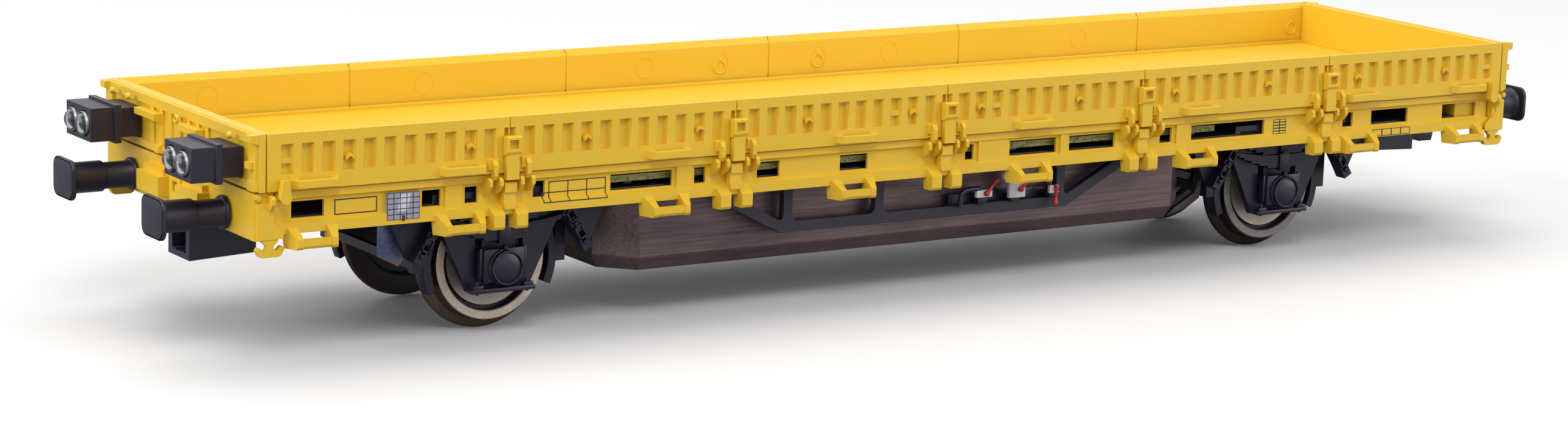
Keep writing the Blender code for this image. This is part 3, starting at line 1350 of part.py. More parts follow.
def wheelsets():
    """Two wheelsets, each under an empty on its axle line: two wheels and an axle."""
    steel = material("darkened_steel", STEEL, 0.4, 0.9)
    for end, place in (("lamp_end", -HALF_BASE), ("plain_end", HALF_BASE)):
        centre = Vector((place, 0, AXLE_HEIGHT))
        hub = bpy.data.objects.new("axle_line_" + end, None)
        bpy.context.scene.collection.objects.link(hub)
        hub.location = centre
        wheel = turned(wheel_profile(), "Y", WHEEL_SIDES, centre, half_step=True)
        for side, flip in (("rear", False), ("front", True)):
            name = "wheel_" + end + "_" + side
            piece(name, steel, [mirrored(wheel, y=flip)], parent=hub, origin=centre, smooth=True)
        shoulder = AXLE_TIP - JOURNAL_LENGTH
        half = [
            (AXLE_RADIUS, shoulder),
            (JOURNAL_RADIUS, shoulder),
            (JOURNAL_RADIUS, AXLE_TIP - JOURNAL_RADIUS / 2),
            (JOURNAL_RADIUS / 2, AXLE_TIP),
            (0, AXLE_TIP),
        ]
        profile = [(r, -y) for r, y in reversed(half)] + half
        axle = turned(profile, "Y", AXLE_SIDES, centre)
        piece("axle_" + end, steel, [axle], parent=hub, origin=centre, smooth=True)


def leaf_spring(middle, outer):
    """A stack of leaves that shorten downwards, bent a little, held by a buckle."""
    right = [(0, SPRING_TOP)]
    for leaf in range(SPRING_LEAVES):
        half = SPRING_HALF_LENGTH - leaf * SPRING_LEAF_STEP
        top = SPRING_TOP - leaf * SPRING_LEAF_THICKNESS - SPRING_CAMBER * (half / SPRING_HALF_LENGTH) ** 2
        right += [(half, top), (half, top - SPRING_LEAF_THICKNESS)]
    left = [(-x, z) for x, z in reversed(right[1:])]
    outline = [(middle + x, z) for x, z in right + left]
    solids = [prism(outline, "Y", outer - SPRING_PROUD, outer + BITE * 2)]
    solids.append(block(
        (middle - BUCKLE_WIDTH / 2, middle + BUCKLE_WIDTH / 2),
        (outer - BUCKLE_PROUD, outer + BITE * 2),
        (SPRING_TOP - BUCKLE_HEIGHT, SPRING_TOP + BITE * 2),
    ))
    return solids


def spring_link(middle, outer, side):
    """A double link from the spring end down to its bracket plate, with two open eyes."""
    top = Vector((middle + side * LINK_TOP_OFFSET, LINK_TOP))
    bottom = Vector((middle + side * LINK_BOTTOM_OFFSET, LINK_BOTTOM))
    along = (bottom - top).normalized()
    across = Vector((-along.y, along.x)) * (LINK_WIDTH / 2)
    corners = [top + across, top - across, bottom - across, bottom + across]
    link = prism([(c.x, c.y) for c in corners], "Y", outer - LINK_PROUD, outer + BITE * 3)
    eyes = []
    for share in LINK_EYE_SHARES:
        eye = top + (bottom - top) * share
        wide = across.normalized() * (LINK_EYE_WIDTH / 2)
        long = along * (LINK_EYE_LENGTH / 2)
        outline = [eye + wide + long, eye - wide + long, eye - wide - long, eye + wide - long]
        open_face = outer - LINK_PROUD - OVERRUN
        eyes.append(prism([(c.x, c.y) for c in outline], "Y", open_face, outer - LINK_PROUD * 0.4))
    bracket_top = TRAY_BOTTOM - SEAT_GAP
    plate = [
        (middle + side * (LINK_TOP_OFFSET - LINK_WIDTH), bracket_top),
        (middle + side * BRACKET_PLATE_REACH, bracket_top),
        (middle + side * (LINK_BOTTOM_OFFSET + LINK_WIDTH * 0.6), LINK_BOTTOM + LINK_WIDTH / 3),
        (middle + side * (LINK_BOTTOM_OFFSET - LINK_WIDTH * 0.6), LINK_BOTTOM + LINK_WIDTH / 3),
    ]
    gusset = prism(plate, "Y", outer, outer + BRACKET_PLATE_THICKNESS)
    return [link, gusset], eyes


def axle_guard(place):
    """W-shaped guard plate with bearing hole and slots, its spring, links and brackets."""
    outer = -GUARD_OUTER
    inner = outer + GUARD_THICKNESS
    top = TRAY_BOTTOM + TRAY_WELL_RISE - SEAT_GAP
    outline = [
        (place - GUARD_TOP_HALF, top), (place - GUARD_BOTTOM_HALF, GUARD_BOTTOM),
        (place + GUARD_BOTTOM_HALF, GUARD_BOTTOM), (place + GUARD_TOP_HALF, top),
    ]
    solids = [prism(outline, "Y", outer, inner)]
    solids.append(block(
        (place - GUARD_TOP_HALF + BITE, place + GUARD_TOP_HALF - BITE),
        (outer + BITE, inner + GUARD_TOP_FOOT),
        (top - GUARD_FOOT_THICKNESS, top - BITE),
    ))
    solids += leaf_spring(place, outer)
    eyes = []
    for side in (-1, 1):
        made, cut = spring_link(place, outer, side)
        solids += made
        eyes += cut
    hole_radius = JOURNAL_RADIUS + SEAT_GAP
    start, finish = inner + OVERRUN, outer - OVERRUN
    bearing = turned([(0, start), (hole_radius, start), (hole_radius, finish), (0, finish)],
                     "Y", GUARD_BEARING_SIDES, (place, 0, AXLE_HEIGHT))
    slots = []
    for side in (-1, 1):
        middle = place + side * GUARD_SLOT_OFFSET
        slots.append(block(
            (middle - GUARD_SLOT_WIDTH / 2, middle + GUARD_SLOT_WIDTH / 2),
            (outer - OVERRUN, inner + OVERRUN),
            (GUARD_SLOT_BOTTOM, GUARD_SLOT_BOTTOM + GUARD_SLOT_HEIGHT),
        ))
    return solids, [bearing] + slots + eyes


def axle_box(place):
    """Housing plate, round domed cover with a rim, and the keep bar under it."""
    back = -GUARD_OUTER - SEAM_GAP
    plate_face = back - BOX_THICKNESS
    solids = [block(
        (place - BOX_WIDTH / 2, place + BOX_WIDTH / 2),
        (plate_face, back),
        (AXLE_HEIGHT - BOX_HEIGHT / 2, AXLE_HEIGHT + BOX_HEIGHT / 2),
    )]
    face = plate_face - CAP_DEPTH
    rim = CAP_RADIUS - CAP_RIM
    profile = [
        (0, plate_face + BITE), (CAP_RADIUS, plate_face + BITE), (CAP_RADIUS, face - CAP_RIM_PROUD),
        (rim, face - CAP_RIM_PROUD), (rim, face), (rim * 0.6, face - CAP_CROWN * 0.7), (0, face - CAP_CROWN),
    ]
    solids.append(turned(profile, "Y", CAP_SIDES, (place, 0, AXLE_HEIGHT)))
    keep_top = AXLE_HEIGHT - KEEP_BAR_DROP + KEEP_BAR_HEIGHT
    solids.append(block(
        (place - KEEP_BAR_LENGTH / 2, place + KEEP_BAR_LENGTH / 2),
        (back - KEEP_BAR_PROUD, back - BITE),
        (keep_top - KEEP_BAR_HEIGHT, keep_top),
    ))
    solids.append(block(
        (place - BOX_WIDTH / 3, place + BOX_WIDTH / 3),
        (plate_face + BITE, back - BITE / 2),
        (keep_top - BITE, AXLE_HEIGHT),
    ))
    return solids


def running_gear():
    """Guards and axle boxes at the four axle ends."""
    for end, place in (("lamp_end", -HALF_BASE), ("plain_end", HALF_BASE)):
        solids, cuts = axle_guard(place)
        both_sides("axle_guard_" + end, black(), solids, cuts)
        both_sides("axle_box_" + end, black(), axle_box(place))


def brake_beam(axle, side):
    """Two shoes that follow the wheel treads, on a beam hung from the tray."""
    tread = TREAD_RADIUS + SHOE_CLEARANCE
    back = tread + SHOE_THICKNESS
    flange_clear = FLANGE_RADIUS + SHOE_CLEARANCE
    raised = TRAY_BOTTOM + TRAY_WELL_RISE - SEAT_GAP
    inner_edge = WHEEL_OUTER - SHOE_WIDTH
    shoe = arc(0, AXLE_HEIGHT, tread, -SHOE_HALF_ANGLE, SHOE_HALF_ANGLE, SHOE_ARC_SIDES)
    shoe += arc(0, AXLE_HEIGHT, back, SHOE_HALF_ANGLE, -SHOE_HALF_ANGLE, SHOE_ARC_SIDES)
    hanger_low = AXLE_HEIGHT - HANGER_WIDTH / 2
    solids = []
    for turn in (-1, 1):
        ends = sorted((turn * inner_edge, turn * WHEEL_OUTER))
        solids.append(prism([(axle + side * x, z) for x, z in shoe], "Y", *ends))
        solids.append(block(
            sorted((axle + side * (back - BITE), axle + side * (flange_clear + HANGER_THICKNESS))),
            (ends[0] + BITE, ends[1] - BITE),
            (hanger_low, raised),
        ))
    solids.append(block(
        sorted((axle + side * flange_clear, axle + side * (flange_clear + HANGER_THICKNESS - BITE))),
        (-inner_edge - BITE * 2, inner_edge + BITE * 2),
        (AXLE_HEIGHT - BEAM_HEIGHT / 2, AXLE_HEIGHT + BEAM_HEIGHT / 2),
    ))
    return solids


def brake_beams():
    """Four beams, one on each side of each axle."""
    for end, axle in (("lamp_end", -HALF_BASE), ("plain_end", HALF_BASE)):
        for place, side in (("outer", -1 if axle < 0 else 1), ("inner", 1 if axle < 0 else -1)):
            piece("brake_beam_" + end + "_" + place, slate(), brake_beam(axle, side))


def coupler_pockets():
    """The box with the square mouth under each headstock, on its stem."""
    face = -HEADSTOCK_FACE
    tail = face + COUPLER_LENGTH
    top = HEADSTOCK_BOTTOM - SEAT_GAP
    half = COUPLER_WIDTH / 2
    side_view = [(face, COUPLER_BOTTOM), (tail, COUPLER_BOTTOM + COUPLER_TAIL_RISE), (tail, top), (face, top)]
    mouth_bottom = COUPLER_BOTTOM + COUPLER_WALL
    stem_end = tail - COUPLER_WALL
    solids = [
        prism(side_view, "Y", -half, half),
        block(
            (stem_end - COUPLER_STEM_LENGTH, stem_end),
            (-COUPLER_STEM_WIDTH / 2, COUPLER_STEM_WIDTH / 2),
            (top - BITE, TRAY_BOTTOM - SEAT_GAP),
        ),
    ]
    mouth = block(
        (face - OVERRUN, face + COUPLER_MOUTH_DEPTH),
        (-COUPLER_MOUTH_WIDTH / 2, COUPLER_MOUTH_WIDTH / 2),
        (mouth_bottom, mouth_bottom + COUPLER_MOUTH_HEIGHT),
    )
    for end, flip in (("lamp_end", False), ("plain_end", True)):
        shapes = [mirrored(one, x=flip) for one in solids]
        piece("coupler_pocket_" + end, black(), shapes, [mirrored(mouth, x=flip)])


def build():
    clear_scene()
    load_floor()
    side_boards()
    end_wall("end_wall_lamp_end", True)
    end_wall("end_wall_plain_end", False)
    sole_bars()
    headstock("headstock_lamp_end", False)
    headstock("headstock_plain_end", True)
    buffers()
    lamps()
    underframe_tray()
    circuit_board()
    drive_block()
    trusses()
    brake_levers()
    wheelsets()
    running_gear()
    brake_beams()
    coupler_pockets()


build()
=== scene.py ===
"""Looks of a 1:87 low-side flat wagon: moulded yellow plastic, black running gear, milled drive block.

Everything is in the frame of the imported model: X along the wagon with the lamps at -X, the front
side at -Y, Z up from the lowest point of the wheel flanges. Places and sizes are written in
millimetres and turned into metres where a shape is made.
"""

import random
from math import atan2, cos, degrees, pi, radians, sin

import bmesh
import bpy
from mathutils import Matrix, Vector


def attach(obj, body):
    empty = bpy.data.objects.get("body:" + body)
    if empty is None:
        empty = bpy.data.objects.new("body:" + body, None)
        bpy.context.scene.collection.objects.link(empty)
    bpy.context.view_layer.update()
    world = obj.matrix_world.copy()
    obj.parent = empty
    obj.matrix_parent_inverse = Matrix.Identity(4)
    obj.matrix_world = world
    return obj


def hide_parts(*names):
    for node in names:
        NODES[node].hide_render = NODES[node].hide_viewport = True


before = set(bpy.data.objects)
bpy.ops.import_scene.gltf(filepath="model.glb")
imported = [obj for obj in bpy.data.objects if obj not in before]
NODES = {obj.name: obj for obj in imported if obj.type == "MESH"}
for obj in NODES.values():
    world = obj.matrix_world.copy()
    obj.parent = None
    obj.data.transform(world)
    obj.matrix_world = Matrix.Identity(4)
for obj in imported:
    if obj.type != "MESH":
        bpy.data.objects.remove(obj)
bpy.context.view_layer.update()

MM = 0.001
MERGE = 0.0005 * MM
FLAT_WITHIN = 0.5

# Camera, from the fit of the photograph's corners, buffers and axle boxes
CAMERA_PLACE = Vector((-215.015, -318.297, 80.729)) * MM
CAMERA_AZIMUTH = 33.0811
CAMERA_ELEVATION = 11.191
CAMERA_ROLL = 1.8259
CAMERA_LENS = 89.593

# Finishes, as linear colour
YELLOW = (0.815, 0.520, 0.028)
YELLOW_DEEP = (0.785, 0.490, 0.023)
BLACK = (0.0110, 0.0085, 0.0200)
SLATE = (0.0145, 0.0118, 0.0225)
CHARCOAL = (0.0090, 0.0062, 0.0185)
BRASS_LIGHT = (0.260, 0.190, 0.178)
BRASS_DARK = (0.060, 0.034, 0.050)
TYRE = (0.780, 0.670, 0.570)
TYRE_DARK = (0.420, 0.330, 0.270)
# The plain end's wheel faces: greyer and darker than the lamp end's.
PLAIN_END_FACE = (0.330, 0.300, 0.290)
PLAIN_END_FACE_DARK = (0.150, 0.130, 0.125)
TREAD = (0.230, 0.165, 0.120)
TREAD_DARK = (0.080, 0.055, 0.045)
DISC = (0.420, 0.380, 0.320)
DISC_DARK = (0.260, 0.230, 0.195)
# Near-black steel: painted shade in the wheels' grooves and on their inner faces, and the dark steel of the axles
# and tongues.
SOOT_AND_SHADE = (0.0260, 0.0200, 0.0250)
BOARD = (0.150, 0.180, 0.022)
BOARD_EDGE = (0.520, 0.500, 0.200)
PRINT = (0.022, 0.022, 0.024)
LABEL_WHITE = (0.640, 0.650, 0.720)
LABEL_GREY = (0.330, 0.340, 0.430)
PAINT_WHITE = (0.720, 0.715, 0.730)
PAINT_RED = (0.480, 0.016, 0.020)
BARE_METAL = (0.360, 0.355, 0.375)
SOLDER = (0.560, 0.570, 0.600)
BLUED_STEEL = (0.060, 0.085, 0.210)
BLUED_LIGHT = (0.240, 0.280, 0.420)
COPPER = (0.500, 0.260, 0.200)
REFLECTOR = (0.060, 0.060, 0.066)
LENS_TINT = (0.50, 0.51, 0.55)
FLOOR = (0.820, 0.820, 0.825)
FLOOR_BOUNCE = (0.260, 0.255, 0.265)

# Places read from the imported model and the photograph, in millimetres
ENDS = {"lamp_end": -1, "plain_end": 1}
SIDES = {"front": -1, "rear": 1}
AXLE_REACH = 46.0
AXLE_HEIGHT = 6.7076
WHEEL_FACE = 9.65
BUFFER_ROW = 9.95
BUFFER_HEIGHT = 13.4
BUFFER_TIP = 79.65
LAMP_ROW = 10.95
LAMP_HEIGHT = 18.45
LENS_OFFSET = 1.30
FLOOR_TOP = 16.85
FLOOR_HALF = 15.35
WALL_INNER = 15.65
WALL_TOP = 21.27
SEAM_PLACES = (-47.867, -23.933, 0.0, 23.933, 47.867)
WEB_FACE = 15.60
FLANGE_FACE = 15.98
FLANGE_FOLD = 13.40
FOLD_DROP = 0.22
TRUSS_CHORD = 8.60

# Studio: each lamp's place in metres, its size in metres and its power in watts
STUDIO_LAMPS = {
    "key": ((-0.30, -0.50, 0.60), 0.28, 2.1),
    "fill": ((0.55, -0.45, 0.25), 0.50, 1.7),
    "left": ((-0.75, 0.05, 0.30), 0.50, 2.9),
    "top": ((0.0, 0.15, 0.80), 0.60, 2.4),
}
LAMP_AIM = (0, 0, 0.01)
SURROUND_LIGHT = 0.55
SURROUND_SEEN = 1.0
FLOOR_SIZE = 2.0


def add_node(tree, kind, settings, sockets, output=0):
    """Adds a node: its settings first, then the values or links of its sockets."""
    made = tree.nodes.new(kind)
    for name, value in settings.items():
        setattr(made, name, value)
    for name, value in sockets.items():
        if isinstance(value, Signal):
            tree.links.new(value.socket, made.inputs[name])
        else:
            made.inputs[name].default_value = value
    return Signal(tree, made.outputs[output])


class Signal:
    """A number socket that takes part in sums, so that a pattern reads as an expression."""

    def __init__(self, tree, socket):
        self.tree = tree
        self.socket = socket

    def _math(self, operation, first, second):
        return add_node(self.tree, "ShaderNodeMath", {"operation": operation}, {0: first, 1: second})

    def __add__(self, other):
        return self._math("ADD", self, other)

    def __radd__(self, other):
        return self._math("ADD", other, self)

    def __sub__(self, other):
        return self._math("SUBTRACT", self, other)

    def __rsub__(self, other):
        return self._math("SUBTRACT", other, self)

    def __mul__(self, other):
        return self._math("MULTIPLY", self, other)

    def __rmul__(self, other):
        return self._math("MULTIPLY", other, self)

    def larger(self, other):
        return self._math("MAXIMUM", self, other)

    def clamped(self):
        return add_node(self.tree, "ShaderNodeClamp", {}, {"Value": self})


class Finish:
    """A material around one Principled shader, whose patterns are placed on the object."""

    def __init__(self, name, colour, roughness, metallic=0.0):
        self.material = bpy.data.materials.new(name)
        self.material.use_nodes = True
        self.material.diffuse_color = (*colour, 1.0)
        self.tree = self.material.node_tree
        self.shader = self.tree.nodes["Principled BSDF"]
        self.set("Base Color", (*colour, 1.0))
        self.set("Roughness", roughness)
        self.set("Metallic", metallic)
        self.object_place = self.node("ShaderNodeTexCoord", {}, {}, "Object")

    def node(self, kind, settings, sockets, output=0):
        return add_node(self.tree, kind, settings, sockets, output)

    def set(self, name, value):
        """Gives a socket of the shader a value, or links it to a signal."""
        if isinstance(value, Signal):
            self.tree.links.new(value.socket, self.shader.inputs[name])
        else:
            self.shader.inputs[name].default_value = value

    def place(self, centre=(0, 0, 0), stretch=(1, 1, 1)):
        """Object coordinates about a centre, stretched along each axis."""
        moved = self.node("ShaderNodeVectorMath", {"operation": "SUBTRACT"}, {0: self.object_place, 1: centre})
        return self.node("ShaderNodeVectorMath", {"operation": "MULTIPLY"}, {0: moved, 1: stretch})

    def noise(self, size, detail, stretch=(1, 1, 1), rough=0.5):
        """Soft noise whose lumps are about size millimetres across."""
        sockets = {"Vector": self.place(stretch=stretch), "Scale": 1 / (size * MM), "Detail": detail,
                   "Roughness": rough}
        return self.node("ShaderNodeTexNoise", {}, sockets, "Fac")

    def rings(self, size, centre):
        """Noise that runs in rings about an axle along Y."""
        around = self.place(centre, (1, 0, 1))
        radius = self.node("ShaderNodeVectorMath", {"operation": "LENGTH"}, {0: around}, "Value")
        ring_place = self.node("ShaderNodeCombineXYZ", {}, {"X": radius})
        sockets = {"Vector": ring_place, "Scale": 1 / (size * MM), "Detail": 3.0}
        return self.node("ShaderNodeTexNoise", {}, sockets, "Fac")

    def mix(self, share, first, second):
        """A colour between two others."""
        ends = [value if isinstance(value, Signal) else (*value, 1.0) for value in (first, second)]
        return self.node("ShaderNodeMix", {"data_type": "RGBA"}, {0: share, 6: ends[0], 7: ends[1]}, 2)

    def bump(self, height, distance):
        """Surface relief: height of 0 to 1 over a real distance in millimetres."""
        self.set("Normal", self.node("ShaderNodeBump", {}, {"Height": height, "Distance": distance * MM,
                                                            "Strength": 1.0}))


def toned(colour, share):
    """A colour made lighter or darker."""
    return tuple(share * part for part in colour)


def moulded(name, light, deep, roughness):
    """Moulded plastic: a slow drift of tone, a fine eroded grain and an uneven gloss."""
    drift_size, grain_size, grain_depth, spread = 9.0, 0.16, 0.0035, 0.10
    finish = Finish(name, light, roughness)
    drift = finish.noise(drift_size, 3.0)
    finish.set("Base Color", finish.mix(drift, light, deep))
    fine = finish.noise(grain_size, 3.0)
    finish.set("Roughness", fine * spread + (roughness - spread / 2) + drift * (spread / 2))
    finish.bump(fine, grain_depth)
    return finish.material


def blackened_brass():
    """Milled brass, blackened in a bath: long cutter lines, a purple-brown tone and rubbed patches."""
    line_size, patch_size, line_depth = 0.26, 6.0, 0.014
    finish = Finish("blackened_brass", BRASS_LIGHT, 0.42, 0.75)
    lines = finish.noise(line_size, 4.0, stretch=(0.030, 1, 1), rough=0.68)
    patches = finish.noise(patch_size, 3.0, stretch=(0.45, 1, 1))
    tone = (lines * 1.1 + patches * 1.1 - 0.60).clamped()
    finish.set("Base Color", finish.mix(tone, BRASS_LIGHT, BRASS_DARK))
    finish.set("Roughness", lines * 0.30 + 0.28)
    finish.bump(lines, line_depth)
    return finish.material


def turned_steel(name, light, dark, axle_x, roughness, metallic, speckle):
    """Steel turned on a lathe: fine rings about the axle under a speckle of tarnish."""
    ring_size, patch_size, speck_size, ring_depth = 0.12, 1.6, 0.22, 0.006
    finish = Finish(name, light, roughness, metallic)
    rings = finish.rings(ring_size, (axle_x * MM, 0, AXLE_HEIGHT * MM))
    patches = finish.noise(patch_size, 4.0)
    specks = finish.noise(speck_size, 3.0, rough=0.7)
    tone = (rings * 0.7 + patches * 0.8 + specks * speckle - (0.35 + speckle / 2)).clamped()
    finish.set("Base Color", finish.mix(tone, light, dark))
    finish.set("Roughness", rings * 0.2 + specks * 0.2 + (roughness - 0.2))
    finish.bump(rings, ring_depth)
    return finish.material


def circuit_laminate():
    """Routed glass laminate: green lacquer on top, pale layered fibres along the edge."""
    layer_size, tuft_size, layer_depth = 0.20, 0.5, 0.05
    finish = Finish("circuit_laminate", BOARD, 0.45)
    layers = finish.noise(layer_size, 5.0, stretch=(0.10, 0.10, 1.6), rough=0.7)
    tufts = finish.noise(tuft_size, 4.0, stretch=(0.5, 1, 1))
    tone = (layers * 2.2 + tufts * 1.0 - 1.15).clamped()
    finish.set("Base Color", finish.mix(tone, BOARD, BOARD_EDGE))
    finish.set("Roughness", layers * 0.4 + 0.35)
    finish.bump(layers, layer_depth)
    return finish.material


def printed(name, colour, roughness=0.45):
    """Pad-printed ink: an almost even tone with a little drift."""
    drift_size = 0.5
    finish = Finish(name, colour, roughness)
    drift = finish.noise(drift_size, 2.0)
    finish.set("Base Color", finish.mix(drift * 0.35, colour, toned(colour, 0.75)))
    return finish.material


def bright_metal(name, colour, roughness, metallic=1.0):
    """Plated metal with faint patches."""
    patch_size = 0.8
    finish = Finish(name, colour, roughness, metallic)
    patches = finish.noise(patch_size, 3.0)
    finish.set("Roughness", patches * 0.2 + (roughness - 0.1))
    finish.set("Base Color", finish.mix(patches * 0.6, colour, toned(colour, 0.7)))
    return finish.material


def blued_sheet():
    """Brushed contact sheet with a blue temper colour that turns to copper towards its lower edge."""
    line_size, cloud_size, copper_height, copper_blend = 0.35, 1.5, 6.6, 1.3
    finish = Finish("blued_sheet", BLUED_STEEL, 0.42, 0.55)
    brushed = finish.noise(line_size, 4.0, stretch=(0.5, 1, 1), rough=0.7)
    clouds = finish.noise(cloud_size, 3.0)
    blues = finish.mix((brushed * 1.8 + clouds * 0.8 - 0.85).clamped(), BLUED_STEEL, BLUED_LIGHT)
    above_copper = finish.place((0, 0, copper_height * MM))
    height = finish.node("ShaderNodeSeparateXYZ", {}, {"Vector": above_copper}, "Z")
    upward = (height * (1 / (copper_blend * MM)) + brushed * 0.6 - 0.3).clamped()
    finish.set("Base Color", finish.mix(upward, COPPER, blues))
    finish.set("Roughness", brushed * 0.3 + 0.25)
    return finish.material


def lens_glass():
    """Clear moulded lens, a little grey."""
    finish = Finish("lens_glass", LENS_TINT, 0.04)
    finish.set("Transmission Weight", 1.0)
    finish.set("IOR", 1.49)
    return finish.material


def wheel_steels(end, axle_x):
    """The four finishes of one wheelset: bright at the lamp end, greyer and darker at the plain end."""
    face, face_dark, tread, tread_dark = WHEEL_TONES[end]
    return {
        "tyre": turned_steel("tyre_face_" + end, face, face_dark, axle_x, 0.55, 0.45, 1.6),
        "tread": turned_steel("tread_" + end, tread, tread_dark, axle_x, 0.36, 0.85, 0.5),
        "disc": turned_steel("disc_" + end, DISC, DISC_DARK, axle_x, 0.45, 0.40, 0.6),
        # Near black: painted shade in each wheel's groove and on its inner face. The axle and the tongues take it
        # too.
        "soot_and_shade": turned_steel("blackened_" + end, SOOT_AND_SHADE, toned(SOOT_AND_SHADE, 2.6), axle_x, 0.45, 0.30, 0.8),
    }


YELLOW_PLASTIC = moulded("yellow_plastic", YELLOW, YELLOW_DEEP, 0.40)
BLACK_PLASTIC = moulded("black_plastic", BLACK, toned(BLACK, 1.5), 0.40)
SLATE_PLASTIC = moulded("slate_plastic", SLATE, toned(SLATE, 1.4), 0.52)
CHARCOAL_PLASTIC = moulded("charcoal_plastic", CHARCOAL, toned(CHARCOAL, 1.6), 0.34)
BRASS = blackened_brass()
LAMINATE = circuit_laminate()
INK = printed("print_ink", PRINT)
WHITE_PAINT = printed("white_paint", PAINT_WHITE)
RED_PAINT = printed("red_paint", PAINT_RED, 0.30)
LABEL_PALE = printed("label_pale", LABEL_WHITE)
LABEL_SHADE = printed("label_shade", LABEL_GREY)
SILVER = bright_metal("plated_silver", BARE_METAL, 0.40)
SOLDER_METAL = bright_metal("solder", SOLDER, 0.28)
REFLECTOR_METAL = bright_metal("lamp_reflector", REFLECTOR, 0.30, 0.8)
BLUED = blued_sheet()
GLASS = lens_glass()
WHEEL_TONES = {"lamp_end": (TYRE, TYRE_DARK, TREAD, TREAD_DARK), "plain_end": (PLAIN_END_FACE, PLAIN_END_FACE_DARK, TREAD_DARK, SOOT_AND_SHADE)}
STEELS = {end: wheel_steels(end, way * AXLE_REACH) for end, way in ENDS.items()}


def placed(name, shape, material, body, smooth=None):
    """A finished piece from a bmesh: at the origin, riding on its body, smooth within an angle."""
    mesh = bpy.data.meshes.new(name)
    shape.to_mesh(mesh)
    shape.free()
    for one in material if isinstance(material, (list, tuple)) else [material]:
        mesh.materials.append(one)
    if smooth is not None:
        mesh.shade_smooth()
        mesh.set_sharp_from_angle(angle=radians(smooth))
    piece = bpy.data.objects.new(name, mesh)
    bpy.context.scene.collection.objects.link(piece)
    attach(piece, body)
    return piece


def merged_copy(node):
    """A CAD node's shape with its loose triangles joined and its flat faces made whole."""
    shape = bmesh.new()
    shape.from_mesh(NODES[node].data)
    bmesh.ops.remove_doubles(shape, verts=shape.verts, dist=MERGE)
    bmesh.ops.dissolve_limit(shape, angle_limit=radians(FLAT_WITHIN), verts=shape.verts, edges=shape.edges)
    return shape


def rounded(shape, edges, width, segments=2):
    """Rounds some edges of a shape by a width in millimetres, and returns what the bevel made."""
    return bmesh.ops.bevel(shape, geom=edges, offset=width * MM, offset_type="OFFSET", segments=segments,
                           profile=0.5, affect="EDGES", clamp_overlap=True, material=-1)


def softened(node, material, width, segments=2, angle=28.0, shortest=0.15, shape=None):
    """A CAD node as it leaves the mould: its sharper, longer edges rounded, its flat faces kept flat."""
    shape = shape or merged_copy(node)
    for face in shape.faces:
        face.smooth = any(radians(FLAT_WITHIN) < edge.calc_face_angle(0.0) < radians(angle) for edge in face.edges)
    sharp = [edge for edge in shape.edges if len(edge.link_faces) == 2
             and edge.calc_face_angle(0.0) > radians(angle) and edge.calc_length() > shortest * MM]
    for face in rounded(shape, sharp, width, segments)["faces"]:
        face.smooth = True
    bmesh.ops.triangulate(shape, faces=[face for face in shape.faces if len(face.verts) > 4])
    piece = placed(node + "_moulded", shape, material, "wagon")
    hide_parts(node)


def painted(shape, paint):
    """Gives every face of a shape one of its piece's materials, by number."""
    for face in shape.faces:
        face.material_index = paint
    return shape


def bar(across, deep, high, soft=0.0, paint=0):
    """A bar between two places along each axis, with softened edges."""
    low, top = (Vector([pick(pair) for pair in (across, deep, high)]) * MM for pick in (min, max))
    shape = bmesh.new()
    bmesh.ops.create_cube(shape, size=1.0)
    bmesh.ops.scale(shape, vec=top - low, verts=shape.verts)
    bmesh.ops.translate(shape, vec=(top + low) / 2, verts=shape.verts)
    if soft:
        rounded(shape, shape.edges[:], soft)
    return painted(shape, paint)


def around(middle, half):
    """The two places that lie half a size to either side of a middle."""
    return middle - half, middle + half


def turned(profile, centre, axis, steps=48, ring=True, paint=0):
    """A form turned about an axis from a profile of (radius, place along the axis)."""
    shape = bmesh.new()
    centre, axis = Vector(centre) * MM, Vector(axis)
    out = axis.orthogonal().normalized()
    points = [shape.verts.new(centre + (out * radius + axis * along) * MM) for radius, along in profile]
    pairs = list(zip(points, points[1:])) + ([(points[-1], points[0])] if ring else [])
    edges = [shape.edges.new(pair) for pair in pairs]
    bmesh.ops.spin(shape, geom=points + edges, cent=centre, axis=axis, angle=2 * pi, steps=steps, use_merge=True)
    bmesh.ops.remove_doubles(shape, verts=shape.verts, dist=MERGE)
    bmesh.ops.recalc_face_normals(shape, faces=shape.faces)
    return painted(shape, paint)


def cut_out(outline, thickness, soft=0.0, paint=0):
    """A flat form cut to an outline of points, given a thickness and softened edges."""
    shape = bmesh.new()
    face = shape.faces.new([shape.verts.new(Vector(point) * MM) for point in outline])
    grown = bmesh.ops.extrude_face_region(shape, geom=[face])
    moved = [part for part in grown["geom"] if isinstance(part, bmesh.types.BMVert)]
    bmesh.ops.translate(shape, vec=Vector(thickness) * MM, verts=moved)
    bmesh.ops.recalc_face_normals(shape, faces=shape.faces)
    if soft:
        rounded(shape, shape.edges[:], soft)
    return painted(shape, paint)


